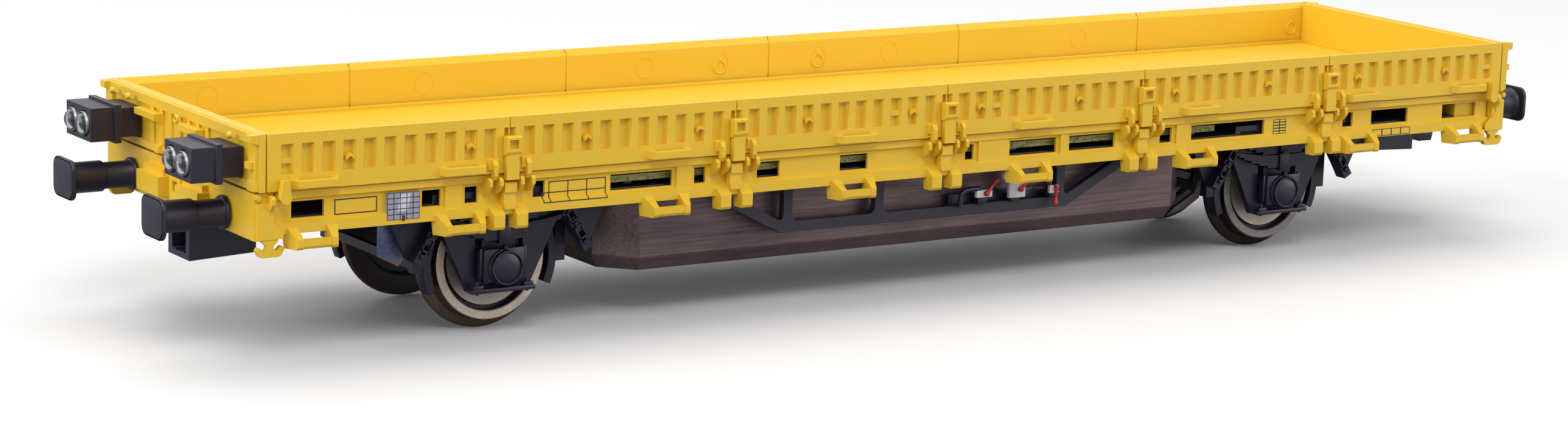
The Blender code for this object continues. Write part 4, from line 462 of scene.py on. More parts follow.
def bent_pipe(route, radius):
    """A round pipe along a route in an XZ plane: a ring of points extruded from place to place."""
    shape = bmesh.new()
    ring = bmesh.ops.create_circle(shape, segments=12, radius=radius * MM, cap_ends=True)["verts"]
    bmesh.ops.translate(shape, vec=Vector(route[0]) * MM, verts=ring)
    face = shape.faces[:][0]
    for index in range(1, len(route)):
        grown = bmesh.ops.extrude_face_region(shape, geom=[face], use_keep_orig=index == 1)
        face = next(part for part in grown["geom"] if isinstance(part, bmesh.types.BMFace))
        here, before = Vector(route[index]), Vector(route[index - 1])
        after = Vector(route[index + 1]) if index + 1 < len(route) else here
        way = (after - before).normalized()
        centre = sum((vert.co for vert in face.verts), Vector()) / len(face.verts)
        bmesh.ops.translate(shape, vec=here * MM - centre, verts=face.verts[:])
        facing = face.normal if face.normal.dot(way) > 0 else -face.normal
        bmesh.ops.rotate(shape, cent=here * MM, matrix=facing.rotation_difference(way).to_matrix(),
                         verts=face.verts[:])
        face.normal_update()
    bmesh.ops.remove_doubles(shape, verts=shape.verts, dist=MERGE)
    bmesh.ops.recalc_face_normals(shape, faces=shape.faces)
    return shape


def joined(shapes):
    """Several shapes as one."""
    whole = shapes[0]
    for other in shapes[1:]:
        mesh = bpy.data.meshes.new("part")
        other.to_mesh(mesh)
        other.free()
        whole.from_mesh(mesh)
        bpy.data.meshes.remove(mesh)
    return whole


def mirrored(shape, x=False, y=False):
    """A shape turned over to the other end or the other side, with its faces outwards again."""
    scale = (-1 if x else 1, -1 if y else 1, 1)
    bmesh.ops.scale(shape, vec=scale, verts=shape.verts)
    if x != y:
        bmesh.ops.reverse_faces(shape, faces=shape.faces)
    return shape


def turn_about(shape, centre, angle):
    """Turns a shape about a line along Y through a point, in degrees."""
    bmesh.ops.rotate(shape, cent=Vector(centre) * MM, matrix=Matrix.Rotation(radians(angle), 3, "Y"),
                     verts=shape.verts)
    return shape


def move(shape, by):
    """Moves a shape by millimetres along each axis."""
    bmesh.ops.translate(shape, vec=Vector(by) * MM, verts=shape.verts)
    return shape


def load_floor():
    """The planked floor, its joints as faint as in the mould, and the low strip along each side."""
    groove_low, groove_high, groove_bottom = 16.70, 16.80, 16.822
    strip_reach, strip_width, strip_sink, strip_top, strip_edge = 71.45, 0.27, 0.05, 17.18, 0.05
    shape = merged_copy("load_floor")
    for vert in shape.verts:
        if groove_low * MM < vert.co.z < groove_high * MM:
            vert.co.z = groove_bottom * MM
    piece = placed("load_floor_planks", shape, YELLOW_PLASTIC, "wagon", smooth=3.0)
    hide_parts("load_floor")
    strips = [
        bar((-strip_reach, strip_reach), (side * (FLOOR_HALF - strip_width), side * FLOOR_HALF),
            (FLOOR_TOP - strip_sink, strip_top), strip_edge)
        for side in SIDES.values()
    ]
    placed("floor_edge_strips", joined(strips), YELLOW_PLASTIC, "wagon", smooth=32.0)


def ejector_ring(x, face, inward):
    """The faint ring that an ejector pin leaves on the inside of a drop side."""
    height = 18.95
    profile = [(0.99, -0.03), (1.01, 0.035), (1.07, 0.035), (1.09, -0.03)]
    return turned(profile, (x, face, height), inward, 40)


def rope_ring(x, face, inward):
    """A rope ring, the pin that holds it and the oval rim of its cup."""
    height, pin_rise, rim_rise, oval = 18.50, 0.80, 0.25, (0.86, 1, 1.15)
    ring = [(0.52, -0.03), (0.55, 0.10), (0.64, 0.14), (0.73, 0.10), (0.76, -0.03)]
    pin = [(0, -0.05), (0.17, -0.05), (0.17, 0.12), (0.10, 0.18), (0, 0.19)]
    rim = [(1.02, -0.03), (1.06, 0.03), (1.12, 0.03), (1.17, -0.03)]
    middle = Vector((x, face, height + rim_rise))
    cup = turned(rim, middle, inward, 40)
    bmesh.ops.scale(cup, vec=oval, space=Matrix.Translation(-middle * MM), verts=cup.verts)
    return [turned(ring, (x, face, height), inward, 32),
            turned(pin, (x, face, height + pin_rise), inward, 16, ring=False), cup]


def inner_wall_details():
    """Ejector and rope rings, filled joints, the seat below the drop sides and the end wall liners."""
    ejector_places, rope_places = (-62.76, -39.85, -14.8, 15.0, 39.8), (-69.7, -5.9, 6.0, 69.7)
    filler_half, filler_in, filler_out, filler_bottom, filler_drop = 0.08, 0.10, 0.50, 17.2, 0.35
    seat_reach, seat_depth, seat_height = 71.50, (15.35, 15.80), (15.99, 16.16)
    liner_inner, liner_outer, liner_half, liner_drop, liner_edge = 71.20, 71.87, 15.58, 0.07, 0.04
    for side, way in SIDES.items():
        inward = (0, -way, 0)
        face = way * WALL_INNER
        marks = [ejector_ring(x, face, inward) for x in ejector_places]
        for x in rope_places:
            marks += rope_ring(x, face, inward)
        marks += [bar(around(x, filler_half), (face + way * filler_in, face + way * filler_out),
                      (filler_bottom, WALL_TOP - filler_drop)) for x in SEAM_PLACES]
        placed("inner_wall_marks_" + side, joined(marks), YELLOW_PLASTIC, "wagon", smooth=32.0)
        seat = bar((-seat_reach, seat_reach), [way * depth for depth in seat_depth], seat_height)
        placed("side_board_seat_" + side, seat, YELLOW_PLASTIC, "wagon")
    for end, way in ENDS.items():
        liner = bar((way * liner_inner, way * liner_outer), (-liner_half, liner_half),
                    (FLOOR_TOP, WALL_TOP - liner_drop), liner_edge)
        placed("end_wall_liner_" + end, liner, YELLOW_PLASTIC, "wagon")


def deep_channels(node):
    """A drop side with its channels as deep as the mould made them, so that they hold a shadow."""
    solid_floor, deep_floor, near = 16.05, 15.84, 0.02
    shape = merged_copy(node)
    for vert in shape.verts:
        if abs(abs(vert.co.y) - solid_floor * MM) < near * MM:
            vert.co.y *= deep_floor / solid_floor
    return shape


def body_shell():
    """Every yellow moulding."""
    for name in NODES:
        if name.startswith("side_board"):
            softened(name, YELLOW_PLASTIC, 0.04, angle=20.0, shortest=1.9,
                     shape=deep_channels(name))
        elif name.startswith(("end_wall", "headstock")):
            softened(name, YELLOW_PLASTIC, 0.05)
        elif name.startswith("sole_bar"):
            softened(name, YELLOW_PLASTIC, 0.08, segments=3)
    load_floor()
    inner_wall_details()


def corner_blocks():
    """The yellow filling behind the corner windows at the plain end, and the stub in its coupling pocket."""
    filling_length, filling_depth, filling_height = (66.75, 71.20), (13.20, 15.05), (13.0, 15.2)
    blocks = [bar(filling_length, [side * depth for depth in filling_depth], filling_height, 0.06)
              for side in SIDES.values()]
    placed("corner_fillings", joined(blocks), YELLOW_PLASTIC, "wagon", smooth=32.0)
    stub_side, stub_width = -2.0, 3.0
    outline = ((72.30, 9.30), (75.95, 9.30), (75.70, 8.20), (73.90, 8.20), (72.70, 8.74), (72.30, 8.74))
    stub = cut_out([(x, stub_side, z) for x, z in outline], (0, stub_width, 0), 0.05)
    placed("coupling_stub", stub, CHARCOAL_PLASTIC, "wagon", smooth=32.0)


def end_wall_fittings():
    """Rivets and a small rope eye on the outside of both end walls."""
    rivet = [(0, 73.40), (0.30, 73.40), (0.30, 73.66), (0.22, 73.76), (0, 73.80)]
    rivet_rows, rivet_height = (-12.45, 9.40, 13.00), 20.72
    eye = [(0.20, 73.45), (0.20, 73.62), (0.30, 73.72), (0.40, 73.62), (0.40, 73.45)]
    eye_row, eye_height = -1.35, 20.35
    for end, way in ENDS.items():
        shapes = [turned(rivet, (0, y, rivet_height), (way, 0, 0), 20, ring=False) for y in rivet_rows]
        shapes.append(turned(eye, (0, eye_row, eye_height), (way, 0, 0), 20))
        placed("end_wall_rivets_" + end, joined(shapes), YELLOW_PLASTIC, "wagon", smooth=40.0)


def dark_mouldings():
    """Black and slate mouldings under and at the ends of the wagon."""
    for name in NODES:
        if name.startswith(("lamp_housing", "coupler_pocket")):
            softened(name, BLACK_PLASTIC, 0.06)
        elif name.startswith("underframe_tray"):
            softened(name, CHARCOAL_PLASTIC, 0.05)
        elif name.startswith(("axle_guard", "brake_beam")):
            softened(name, CHARCOAL_PLASTIC, 0.045)
        elif name.startswith("truss"):
            softened(name, SLATE_PLASTIC, 0.07)
    softened("drive_block", BRASS, 0.10)


def buffer_head(row):
    """The rounded plate of a buffer at the plain end, with its domed face."""
    back, front, half_width, drop, rise = 0.38, 0.02, 2.32, 1.80, 1.90
    corner, rim, dome = 0.95, 0.11, ((0.92, 0.022), (0.90, 0.022), (0.86, 0.022), (0.80, 0.020), (0.70, 0.014),
                                     (0.50, 0.008))
    head = bar((BUFFER_TIP - back, BUFFER_TIP + front), around(row, half_width),
               (BUFFER_HEIGHT - drop, BUFFER_HEIGHT + rise))
    corners = [edge for edge in head.edges if abs(edge.verts[0].co.x - edge.verts[1].co.x) > rim * MM]
    rounded(head, corners, corner, segments=8)
    rims = [edge for edge in head.edges if len(edge.link_faces) == 2
            and edge.calc_face_angle(0.0) > radians(60)]
    rounded(head, rims, rim, segments=3)
    head.faces.ensure_lookup_table()
    face = max(head.faces, key=lambda one: one.calc_center_median().x * 100 + one.calc_area())
    for share, step in dome:
        grown = bmesh.ops.extrude_face_region(head, geom=[face])
        face = next(part for part in grown["geom"] if isinstance(part, bmesh.types.BMFace))
        middle = face.calc_center_median()
        bmesh.ops.scale(head, vec=(1, share, share), space=Matrix.Translation(-middle), verts=face.verts[:])
        bmesh.ops.translate(head, vec=(step * MM, 0, 0), verts=face.verts[:])
    return head


def buffers():
    """Sprung buffers: a flanged sleeve, a wider sliding case and a domed, rounded head."""
    sleeve = [(0, 72.85), (1.50, 72.85), (1.53, 72.95), (1.53, 73.12), (1.48, 73.20), (1.28, 73.24),
              (1.24, 73.32), (1.24, 75.85), (1.42, 75.98), (1.44, 76.06), (1.44, 78.70), (1.52, 79.05),
              (1.70, 79.30), (0, 79.30)]
    for end, way in ENDS.items():
        for side, across in SIDES.items():
            row = across * BUFFER_ROW
            stem = turned(sleeve, (0, row, BUFFER_HEIGHT), (way, 0, 0), 48, ring=False)
            head = buffer_head(row) if way > 0 else mirrored(buffer_head(row), x=True)
            piece = placed(f"buffer_{end}_{side}_turned", joined([stem, head]), BLACK_PLASTIC, "wagon",
                           smooth=38.0)
            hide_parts(f"buffer_{end}_{side}")


def lamp_lenses():
    """Clear domed lenses over dark reflectors, each in a thin plated rim."""
    dome = [(0, 77.10), (0.98, 77.10), (0.98, 77.86), (0.94, 77.98), (0.84, 78.14), (0.68, 78.29),
            (0.48, 78.40), (0.25, 78.47), (0, 78.49)]
    rim = [(0.99, 77.40), (0.99, 77.92), (1.02, 77.97), (1.06, 77.97), (1.10, 77.92), (1.13, 77.70), (1.13, 77.40)]
    bowl = [(0, 76.95), (1.00, 76.95), (1.00, 77.07), (0.55, 77.03), (0.20, 77.05), (0, 77.06)]
    out = (ENDS["lamp_end"], 0, 0)
    for side, across in SIDES.items():
        for place, step in (("inner", -1), ("outer", 1)):
            middle = (0, across * (LAMP_ROW + step * LENS_OFFSET), LAMP_HEIGHT)
            lens = placed(f"lamp_dome_{side}_{place}", turned(dome, middle, out, 40, ring=False), GLASS,
                          "wagon", smooth=50.0)
            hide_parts(f"lamp_lens_{side}_{place}")
            holder = joined([turned(rim, middle, out, 40), turned(bowl, middle, out, 40, ring=False, paint=1)])
            placed(f"lamp_rim_{side}_{place}", holder, [SILVER, REFLECTOR_METAL], "wagon", smooth=40.0)


def turned_wheel(middle, across):
    """One wheel: a flange, a polished tread, a grooved face and a pale dish, each with its own finish."""
    # radius, depth behind the outer face, and the number of the finish up to the next point
    profile = [
        (1.02, 0.10, 2), (1.62, 0.10, 2), (1.76, 0.24, 2), (1.86, 0.56, 2), (2.30, 0.62, 2), (4.14, 0.60, 2),
        (4.30, 0.56, 3), (4.36, 0.64, 3), (4.40, 0.98, 3), (4.72, 0.98, 3), (4.77, 0.10, 0), (4.84, 0.00, 0),
        (5.50, 0.00, 0), (5.58, 0.06, 1), (5.63, 0.30, 1), (5.70, 1.45, 1), (5.80, 1.62, 1), (6.05, 1.73, 1),
        (6.46, 1.81, 1), (6.62, 1.90, 1), (6.695, 2.05, 1), (6.66, 2.24, 1), (6.50, 2.42, 3), (6.25, 2.50, 3),
        (4.80, 2.50, 3), (4.60, 2.38, 3), (4.42, 2.05, 3), (1.95, 2.00, 3), (1.75, 2.42, 3), (1.02, 2.42, 3),
    ]
    stretches = list(zip(profile, profile[1:] + profile[:1]))
    wheel = turned([(radius, WHEEL_FACE - depth) for radius, depth, _ in profile], middle, (0, across, 0), 72)
    for face in wheel.faces:
        spot = face.calc_center_median() / MM
        radius = Vector((spot.x - middle.x, spot.z - middle.z)).length
        depth = WHEEL_FACE - abs(spot.y)
        nearest = min(stretches, key=lambda pair: abs((pair[0][0] + pair[1][0]) / 2 - radius)
                      + abs((pair[0][1] + pair[1][1]) / 2 - depth))
        # Finish 3 is near black: painted shade in the groove inside the rim and on the wheel's inner face.
        face.material_index = nearest[0][2]
    return wheel


def wheelsets():
    """Turned wheels on their axles."""
    axle = [(0, -10.80), (0.42, -10.80), (0.55, -10.66), (0.55, -10.00), (0.80, -9.95), (0.85, -9.85),
            (0.85, -9.56), (1.01, -9.52), (1.01, -7.24), (0.85, -7.20), (0.85, 7.20), (1.01, 7.24),
            (1.01, 9.52), (0.85, 9.56), (0.85, 9.85), (0.80, 9.95), (0.55, 10.00), (0.55, 10.66),
            (0.42, 10.80), (0, 10.80)]
    for end, way in ENDS.items():
        body = "wheelset_" + end
        steels = STEELS[end]
        middle = Vector((way * AXLE_REACH, 0, AXLE_HEIGHT))
        for side, across in SIDES.items():
            piece = placed(f"wheel_{end}_{side}_turned", turned_wheel(middle, across),
                           [steels["tyre"], steels["tread"], steels["disc"], steels["soot_and_shade"]], body,
                           smooth=30.0)
            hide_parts(f"wheel_{end}_{side}")
        shaft = turned(axle, middle, (0, 1, 0), 32, ring=False)
        piece = placed(f"axle_{end}_turned", shaft, steels["soot_and_shade"], body, smooth=35.0)
        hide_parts("axle_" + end)


def axle_box(x, across):
    """One cast axle box: a stepped body, a domed cap in its rim, a keep bar, its nuts and side ribs."""
    z = AXLE_HEIGHT
    cap_shift, cap_drop, stud_shift, stud_rise = 0.10, 0.15, 0.05, 1.76
    cap = [(0, 11.9), (1.78, 11.9), (1.80, 12.42), (1.75, 12.52), (1.66, 12.56), (1.64, 12.84), (1.60, 12.93),
           (1.53, 12.97), (1.46, 12.96), (1.41, 12.89), (1.38, 12.80), (1.28, 12.85), (1.05, 12.94),
           (0.75, 13.01), (0.40, 13.04), (0, 13.05)]
    stud = [(0, 12.25), (0.20, 12.25), (0.20, 12.75), (0.14, 12.80), (0, 12.80)]
    nut = [(0, 4.7), (0.24, 4.7), (0.24, 5.32), (0.17, 5.40), (0, 5.40)]
    bolt = [(0, 4.16), (0.15, 4.16), (0.17, 4.20), (0.17, 4.45), (0, 4.45)]
    bolt_row, bolt_places, lug_half, rib_place, rib_half = 12.32, (-2.80, 2.40), 0.50, 2.28, 0.16

    def plate(across_range, deep, high, soft):
        return bar(across_range, [depth * across for depth in deep], high, soft)

    shapes = [
        plate(around(x, 2.45), (11.35, 11.90), (5.45, 8.10), 0.10),
        plate(around(x, 2.10), (11.60, 12.32), (5.15, 8.30), 0.14),
        turned(cap, (x + cap_shift, 0, z - cap_drop), (0, across, 0), 56, ring=False),
        turned(stud, (x - stud_shift, 0, z + stud_rise), (0, across, 0), 16, ring=False),
        plate((x - 3.50, x + 3.10), (11.80, 12.72), (4.32, 4.72), 0.06),
    ]
    for reach in bolt_places:
        foot = (x + reach, bolt_row * across, 0)
        shapes.append(plate(around(x + reach, lug_half), (11.95, 12.70), (4.67, 5.06), 0.06))
        shapes.append(turned(nut, foot, (0, 0, 1), 6, ring=False))
        shapes.append(turned(bolt, foot, (0, 0, 1), 12, ring=False))
    for reach in (-rib_place, rib_place):
        shapes.append(plate(around(x + reach, rib_half), (11.80, 12.10), (5.55, 8.35), 0.05))
    return joined(shapes)


def axle_boxes():
    """The cast axle boxes, outside the guards."""
    for end, way in ENDS.items():
        for side, across in SIDES.items():
            piece = placed(f"axle_box_{end}_{side}_cast", axle_box(way * AXLE_REACH, across), CHARCOAL_PLASTIC,
                           "wagon", smooth=35.0)
            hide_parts(f"axle_box_{end}_{side}")


def spring_leaves(across):
    """The leaves of a spring, each bent to the same curve, about a middle at zero."""
    leaf_reach = (6.35, 5.95, 5.25, 4.25, 3.15, 2.05)
    pitch, thick, crown, rise = 0.22, 0.205, 10.38, 0.0165
    leaves = []
    for step, reach in enumerate(leaf_reach):
        leaf = bar((-reach, reach), (11.30 * across, 12.20 * across),
                   (crown - step * pitch - thick, crown - step * pitch))
        long_edges = [edge for edge in leaf.edges
                      if abs(edge.verts[0].co.x - edge.verts[1].co.x) > reach * MM]
        bmesh.ops.subdivide_edges(leaf, edges=long_edges, cuts=11, use_grid_fill=True)
        for vert in leaf.verts:
            vert.co.z += rise * (vert.co.x / MM) ** 2 * MM
        leaves.append(leaf)
    return leaves


def shackles(reach, across):
    """The two links with their pins that carry one end of a spring, leaning outwards."""
    place, hang_height, outer, inner, wire, edge = reach * 6.20, 12.15, 0.46, 0.29, 0.20, 0.03
    hang = (place, 0, hang_height)
    lean = -reach * degrees(atan2(8.90 - 6.20, hang_height - 7.50))
    pin = [(0, 11.9), (0.24, 11.9), (0.24, 12.52), (0.18, 12.58), (0, 12.58)]
    shapes = []
    for low, high in ((9.95, 11.25), (8.05, 9.45)):
        sides = ((-outer, -inner, low, high), (inner, outer, low, high),
                 (-outer, outer, low, low + wire), (-outer, outer, high - wire, high))
        link = joined([bar((left, right), (12.10 * across, 12.50 * across), (bottom, top), edge)
                       for left, right, bottom, top in sides])
        shapes.append(turn_about(move(link, (place, 0, 0)), hang, lean))
    for height in (9.70, 7.62):
        shapes.append(turn_about(turned(pin, (place, 0, height), (0, across, 0), 14, ring=False), hang, lean))
    return shapes


def leaf_springs():
    """Laminated springs over the axle boxes, each with its buckle, and the shackles that carry it."""
    eye = [(0, 11.25), (0.26, 11.25), (0.26, 12.26), (0.20, 12.32), (0, 12.32)]
    eye_place, eye_height = 6.30, 10.98
    for end, way in ENDS.items():
        for side, across in SIDES.items():
            shapes = spring_leaves(across)
            shapes.append(bar((-0.62, 0.62), (11.25 * across, 12.42 * across), (8.78, 10.62), 0.06))
            shapes.append(bar((-0.34, 0.34), (11.9 * across, 12.52 * across), (10.50, 10.86), 0.05))
            for reach in (-1, 1):
                shapes.append(turned(eye, (reach * eye_place, 0, eye_height), (0, across, 0), 16, ring=False))
                shapes += shackles(reach, across)
            whole = move(joined(shapes), (way * AXLE_REACH, 0, 0))
            placed(f"leaf_spring_{end}_{side}", whole, CHARCOAL_PLASTIC, "wagon", smooth=35.0)


def contact_sheets():
    """Blued pick-up sheets beside the lamp end wheels, and dark tongues beside the other end of the block."""
    sheet_row, sheet_thick, tongue_row, tongue_thick = 9.72, 0.12, 9.60, 0.50
    outline = ((-57.70, 13.2), (-54.60, 13.2), (-54.60, 8.10), (-55.55, 6.95), (-57.72, 8.02))
    tongue = ((32.46, 4.56), (33.55, 5.39), (36.08, 6.76), (36.40, 7.60), (36.40, 10.2), (37.00, 10.2),
              (36.90, 7.40), (36.77, 6.18), (35.19, 5.26))
    for side, across in SIDES.items():
        sheet = cut_out([(x, across * sheet_row, z) for x, z in outline], (0, across * sheet_thick, 0), 0.02)
        placed("contact_sheet_" + side, sheet, BLUED, "wagon", smooth=30.0)
        strip = cut_out([(x, across * tongue_row, z) for x, z in tongue], (0, across * tongue_thick, 0), 0.05)
        placed("contact_tongue_" + side, strip, STEELS["plain_end"]["soot_and_shade"], "wagon", smooth=30.0)


def laminate_fibres(across, draw):
    """Short fibres of uneven length that stand out along the routed edge of the board."""
    x, last, edge_inner, edge_face = -36.0, 34.2, 14.62, 14.70
    tufts = []
    while x < last:
        width = draw.uniform(0.18, 0.55)
        out = draw.uniform(0.02, 0.16)
        low = draw.uniform(14.12, 14.40)
        tufts.append(bar((x, x + width), (across * edge_inner, across * (edge_face + out)),
                         (low, low + draw.uniform(0.10, 0.26)), 0.03))
        x += width * draw.uniform(0.7, 1.1)
    return joined(tufts)


def board_parts(across, draw):
    """Blobs of solder with small black parts beside them, under the edge of the board."""
    places = (-35.2, -31.2, -28.1, -18.4, -6.2, -2.9, 8.3, 19.7, 22.4, 30.6)
    solder_row, wander, part_start, part_end = 14.05, 0.4, 0.75, 1.65
    blob = [(0, 14.12), (0.42, 14.12), (0.36, 13.98), (0.20, 13.86), (0, 13.82)]
    shapes = []
    for x in places:
        spot = x + draw.uniform(-wander, wander)
        shapes.append(turned(blob, (spot, across * solder_row, 0), (0, 0, 1), 14, ring=False))
        shapes.append(bar((spot + part_start, spot + part_end), (across * 13.8, across * 14.35), (13.76, 14.11),
                          0.06, paint=1))
    return joined(shapes)


def circuit_edges():
    """The circuit board with its routed edge, solder and small parts seen through the windows."""
    NODES["circuit_board"].data.materials.clear()
    NODES["circuit_board"].data.materials.append(LAMINATE)
    draw = random.Random(87)
    for side, across in SIDES.items():
        placed("laminate_fibres_" + side, laminate_fibres(across, draw), LAMINATE, "wagon")
        placed("board_parts_" + side, board_parts(across, draw), [SOLDER_METAL, CHARCOAL_PLASTIC], "wagon",
               smooth=40.0)


def lever_plate(middle, width, low, high, pointer):
    """A white plate on its dark stem. The one with a pointer has a rounded arm up to the left."""
    plate_face, plate_thick, stem_shift = 13.76, 0.44, 0.05
    half = width / 2
    stem = min(1.10, width * 0.7) / 2
    top = low + high
    outline = [(middle - half, low), (middle + half, low), (middle + half, top)]
    if pointer:
        rise, far = top + 0.60, middle - 1.40
        outline += [(middle + half - 0.2, top + 0.55), (middle + 0.1, rise + 0.48), (far + 0.30, rise + 0.45),
                    (far, rise + 0.40), (far - 0.30, rise + 0.25), (far - 0.42, rise - 0.05),
                    (far - 0.34, rise - 0.35), (middle - half, top - 0.25)]
    else:
        outline += [(middle - half, top)]
    return [
        bar(around(middle - stem_shift, stem), (12.5, 13.98), (TRUSS_CHORD - 0.05, low + 0.2), 0.05),
        cut_out([(x, plate_face, z) for x, z in outline], (0, plate_thick, 0), 0.06, paint=1),
    ]


def lever_handle(middle, pivot_height, length, turn):
    """A red handle with a ball at its end, turned about its pivot."""
    handle_row = 14.42
    rod = [(0, 0), (0.26, 0), (0.26, 0.10), (0.17, 0.35), (0.155, length - 0.45), (0.24, length - 0.30),
           (0.28, length - 0.10), (0.24, length + 0.08), (0, length + 0.14)]
    pivot = [(0, 13.9), (0.25, 13.9), (0.25, 14.50), (0.18, 14.60), (0, 14.62)]
    handle = joined([
        turned(rod, (middle, handle_row, pivot_height), (0, 0, 1), 16, ring=False, paint=2),
        turned(pivot, (middle, 0, pivot_height), (0, 1, 0), 16, ring=False, paint=2),
    ])
    return turn_about(handle, (middle, 0, pivot_height), turn)


def brake_levers():
    """Brake changeover levers: dark stems and pipe, white plates and red handles with ball ends."""
    # middle, width, height and lift above the truss chord
    plates = ((6.45, 1.88, 0.72, 0.70), (10.42, 1.95, 1.78, 0.38), (14.97, 1.10, 0.77, 0.48))
    # middle, lift above the truss chord, length and turn in degrees
    handles = ((6.55, 1.10, 1.80, 42.0), (10.70, 1.20, 1.80, 42.0), (15.05, 1.05, 1.60, 183.0))
    pipe_row, pipe_radius = 14.0, 0.26
    pipe_route = ((3.70, TRUSS_CHORD - 0.10), (3.70, 9.35), (3.80, 9.85), (4.20, 10.12), (4.80, 10.18),
                  (6.00, 10.18))
    for side, across in SIDES.items():
        shapes = [bar((3.2, 16.4), (12.35, 12.65), (7.70, 9.55), 0.05)]
        for index, (middle, width, high, lift) in enumerate(plates):
            shapes += lever_plate(middle, width, TRUSS_CHORD + lift, high, pointer=index == 1)
        for middle, lift, length, turn in handles:
            shapes.append(lever_handle(middle, TRUSS_CHORD + lift, length, turn))
        shapes.append(bent_pipe([(x, pipe_row, z) for x, z in pipe_route], pipe_radius))
        whole = joined(shapes)
        if across < 0:
            mirrored(whole, y=True)
        piece = placed(f"brake_levers_{side}_painted", whole, [CHARCOAL_PLASTIC, WHITE_PAINT, RED_PAINT],
                       "wagon", smooth=40.0)
        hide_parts("brake_levers_" + side)


def lattice(x_range, z_range, columns, rows, line, face, proud=0.02, paint=0):
    """The printed frame of a label box: a grid of thin lines on the front face of the sole bar."""
    sink = 0.03
    width, height = x_range[1] - x_range[0], z_range[1] - z_range[0]
    shape = bmesh.new()
    bmesh.ops.create_grid(shape, x_segments=columns, y_segments=rows, size=0.5)
    cells = shape.faces[:]
    bmesh.ops.scale(shape, vec=(width * MM, height * MM, 1), verts=shape.verts)
    bmesh.ops.inset_individual(shape, faces=cells, thickness=line / 2 * MM, use_even_offset=True)
    bmesh.ops.delete(shape, geom=cells, context="FACES_ONLY")
    bmesh.ops.rotate(shape, cent=(0, 0, 0), matrix=Matrix.Rotation(pi / 2, 3, "X"), verts=shape.verts)
    move(shape, (sum(x_range) / 2, -face - proud, sum(z_range) / 2))
    grown = bmesh.ops.extrude_face_region(shape, geom=shape.faces[:], use_keep_orig=True)
    moved = [part for part in grown["geom"] if isinstance(part, bmesh.types.BMVert)]
    bmesh.ops.translate(shape, vec=(0, (proud + sink) * MM, 0), verts=moved)
    bmesh.ops.recalc_face_normals(shape, faces=shape.faces)
    return painted(shape, paint)


def folded_frame(left, right, levels, columns, line):
    """A printed table that runs down the web and over the flange: upright lines follow the fold."""
    proud, sink, slip = 0.02, 0.04, 0.01
    route = [(WEB_FACE, levels[0]), (WEB_FACE, FLANGE_FOLD), (FLANGE_FACE, FLANGE_FOLD - FOLD_DROP),
             (FLANGE_FACE, levels[-1])]
    shapes = []
    for step in range(columns + 1):
        edge = left + (right - left) * step / columns - line / 2
        outline = [(edge, -y - proud, z) for y, z in route]
        outline += [(edge, -y + sink, z - slip) for y, z in reversed(route)]
        shapes.append(cut_out(outline, (line, 0, 0)))
    for z in levels:
        face = WEB_FACE if z > FLANGE_FOLD else FLANGE_FACE
        shapes.append(bar((left - line / 2, right + line / 2), (-face - proud, -face + sink), around(z, line / 2)))
    return shapes


def label_frames():
    """Blank label boxes: printed frames with nothing in them."""
    frames = [lattice((-64.90, -60.72), (13.50, 14.90), 1, 1, 0.20, WEB_FACE),
              lattice((54.62, 59.76), (12.32, 13.08), 4, 1, 0.13, FLANGE_FACE)]
    frames += folded_frame(-43.35, -37.45, (14.84, 13.86, 13.02), 3, 0.09)
    frames += folded_frame(-44.05, -43.35, (13.86, 13.02), 1, 0.09)
    frames.append(lattice((41.45, 43.15), (13.42, 14.92), 2, 5, 0.11, WEB_FACE))
    placed("label_frames", joined(frames), INK, "wagon")


def label_plate():
    """A grey plate under a fine grid, with one pale slanted field and a small clip below."""
    low, high, left, right = 12.66, 15.10, -59.91, -56.71
    plate_face, grid_line, grid_proud = FLANGE_FACE + 0.03, 0.07, 0.018
    field_row, field_thick = -plate_face - 0.012, 0.03
    field = ((left + 1.00, low + 0.75), (left + 2.05, low + 0.75), (left + 2.30, high - 0.15),
             (left + 1.30, high - 0.15))
    plate = [
        bar((left, right), (-plate_face, -WEB_FACE + 0.05), (low, high), 0.02),
        cut_out([(x, field_row, z) for x, z in field], (0, field_thick, 0), paint=1),
        lattice((left, right), (low, high), 5, 5, grid_line, plate_face, grid_proud, paint=2),
        bar((left + 1.50, left + 1.72), (-plate_face - 0.10, -plate_face + 0.05), (low - 0.12, low + 0.38), 0.03,
            paint=2),
    ]
    placed("gridded_label_plate", joined(plate), [LABEL_SHADE, LABEL_PALE, INK], "wagon")


def studio_floor():
    """A pale floor, darker for light that bounces than for the camera."""
    shape = bmesh.new()
    bmesh.ops.create_grid(shape, x_segments=1, y_segments=1, size=FLOOR_SIZE)
    mesh = bpy.data.meshes.new("studio_floor")
    shape.to_mesh(mesh)
    shape.free()
    surface = Finish("studio_floor", FLOOR, 0.6)
    straight = surface.node("ShaderNodeLightPath", {}, {}, "Is Camera Ray")
    surface.set("Base Color", surface.mix(straight, FLOOR_BOUNCE, FLOOR))
    mesh.materials.append(surface.material)
    floor = bpy.data.objects.new("studio_floor", mesh)
    bpy.context.scene.collection.objects.link(floor)


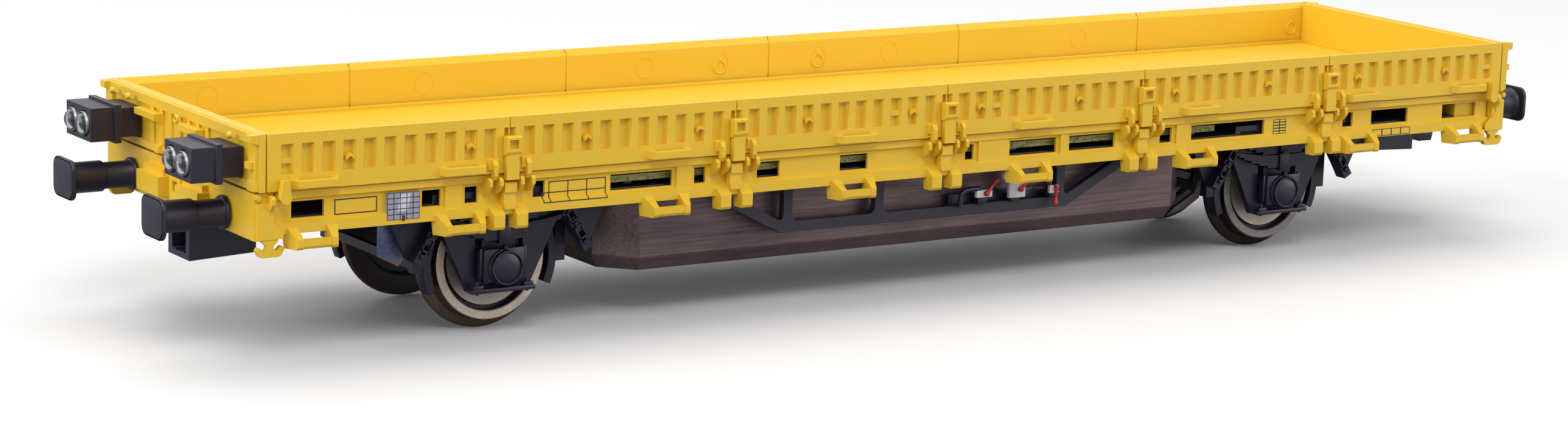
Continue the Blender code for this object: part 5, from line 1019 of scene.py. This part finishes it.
def surround():
    """A white surround that is seen brighter than it lights."""
    world = bpy.data.worlds.new("studio")
    bpy.context.scene.world = world
    world.use_nodes = True
    tree = world.node_tree
    back = tree.nodes["Background"]
    back.inputs["Color"].default_value = (1, 1, 1, 1)
    camera, glossy, through = (add_node(tree, "ShaderNodeLightPath", {}, {}, f"Is {ray} Ray")
                               for ray in ("Camera", "Glossy", "Transmission"))
    seen = camera.larger(glossy).larger(through)
    strength = add_node(tree, "ShaderNodeMapRange", {},
                        {"To Min": SURROUND_LIGHT, "To Max": SURROUND_SEEN, "Value": seen})
    tree.links.new(strength.socket, back.inputs["Strength"])


def aimed(thing, place, way):
    """Puts a lamp or a camera in its place, looking along a way."""
    thing.location = place
    thing.rotation_mode = "QUATERNION"
    thing.rotation_quaternion = way.to_track_quat("-Z", "Y")
    bpy.context.scene.collection.objects.link(thing)
    return thing


def studio():
    """The floor, the surround, four soft lamps and the photograph's camera."""
    studio_floor()
    surround()
    for name, (place, size, power) in STUDIO_LAMPS.items():
        data = bpy.data.lights.new(name, "AREA")
        data.size = size
        data.energy = power
        aimed(bpy.data.objects.new(name, data), place, Vector(LAMP_AIM) - Vector(place))

    lens = bpy.data.cameras.new("camera")
    lens.lens = CAMERA_LENS
    lens.sensor_width = 36.0
    lens.clip_start = 0.01
    lens.clip_end = 10.0
    turn, rise = radians(CAMERA_AZIMUTH), radians(CAMERA_ELEVATION)
    way = Vector((sin(turn) * cos(rise), cos(turn) * cos(rise), -sin(rise)))
    camera = aimed(bpy.data.objects.new("camera", lens), CAMERA_PLACE, way)
    roll = Matrix.Rotation(radians(CAMERA_ROLL), 4, "Z").to_quaternion()
    camera.rotation_quaternion = way.to_track_quat("-Z", "Y") @ roll
    bpy.context.scene.camera = camera
    bpy.context.scene.view_settings.view_transform = "Standard"


body_shell()
corner_blocks()
end_wall_fittings()
dark_mouldings()
buffers()
lamp_lenses()
wheelsets()
axle_boxes()
leaf_springs()
contact_sheets()
circuit_edges()
brake_levers()
label_frames()
label_plate()
studio()
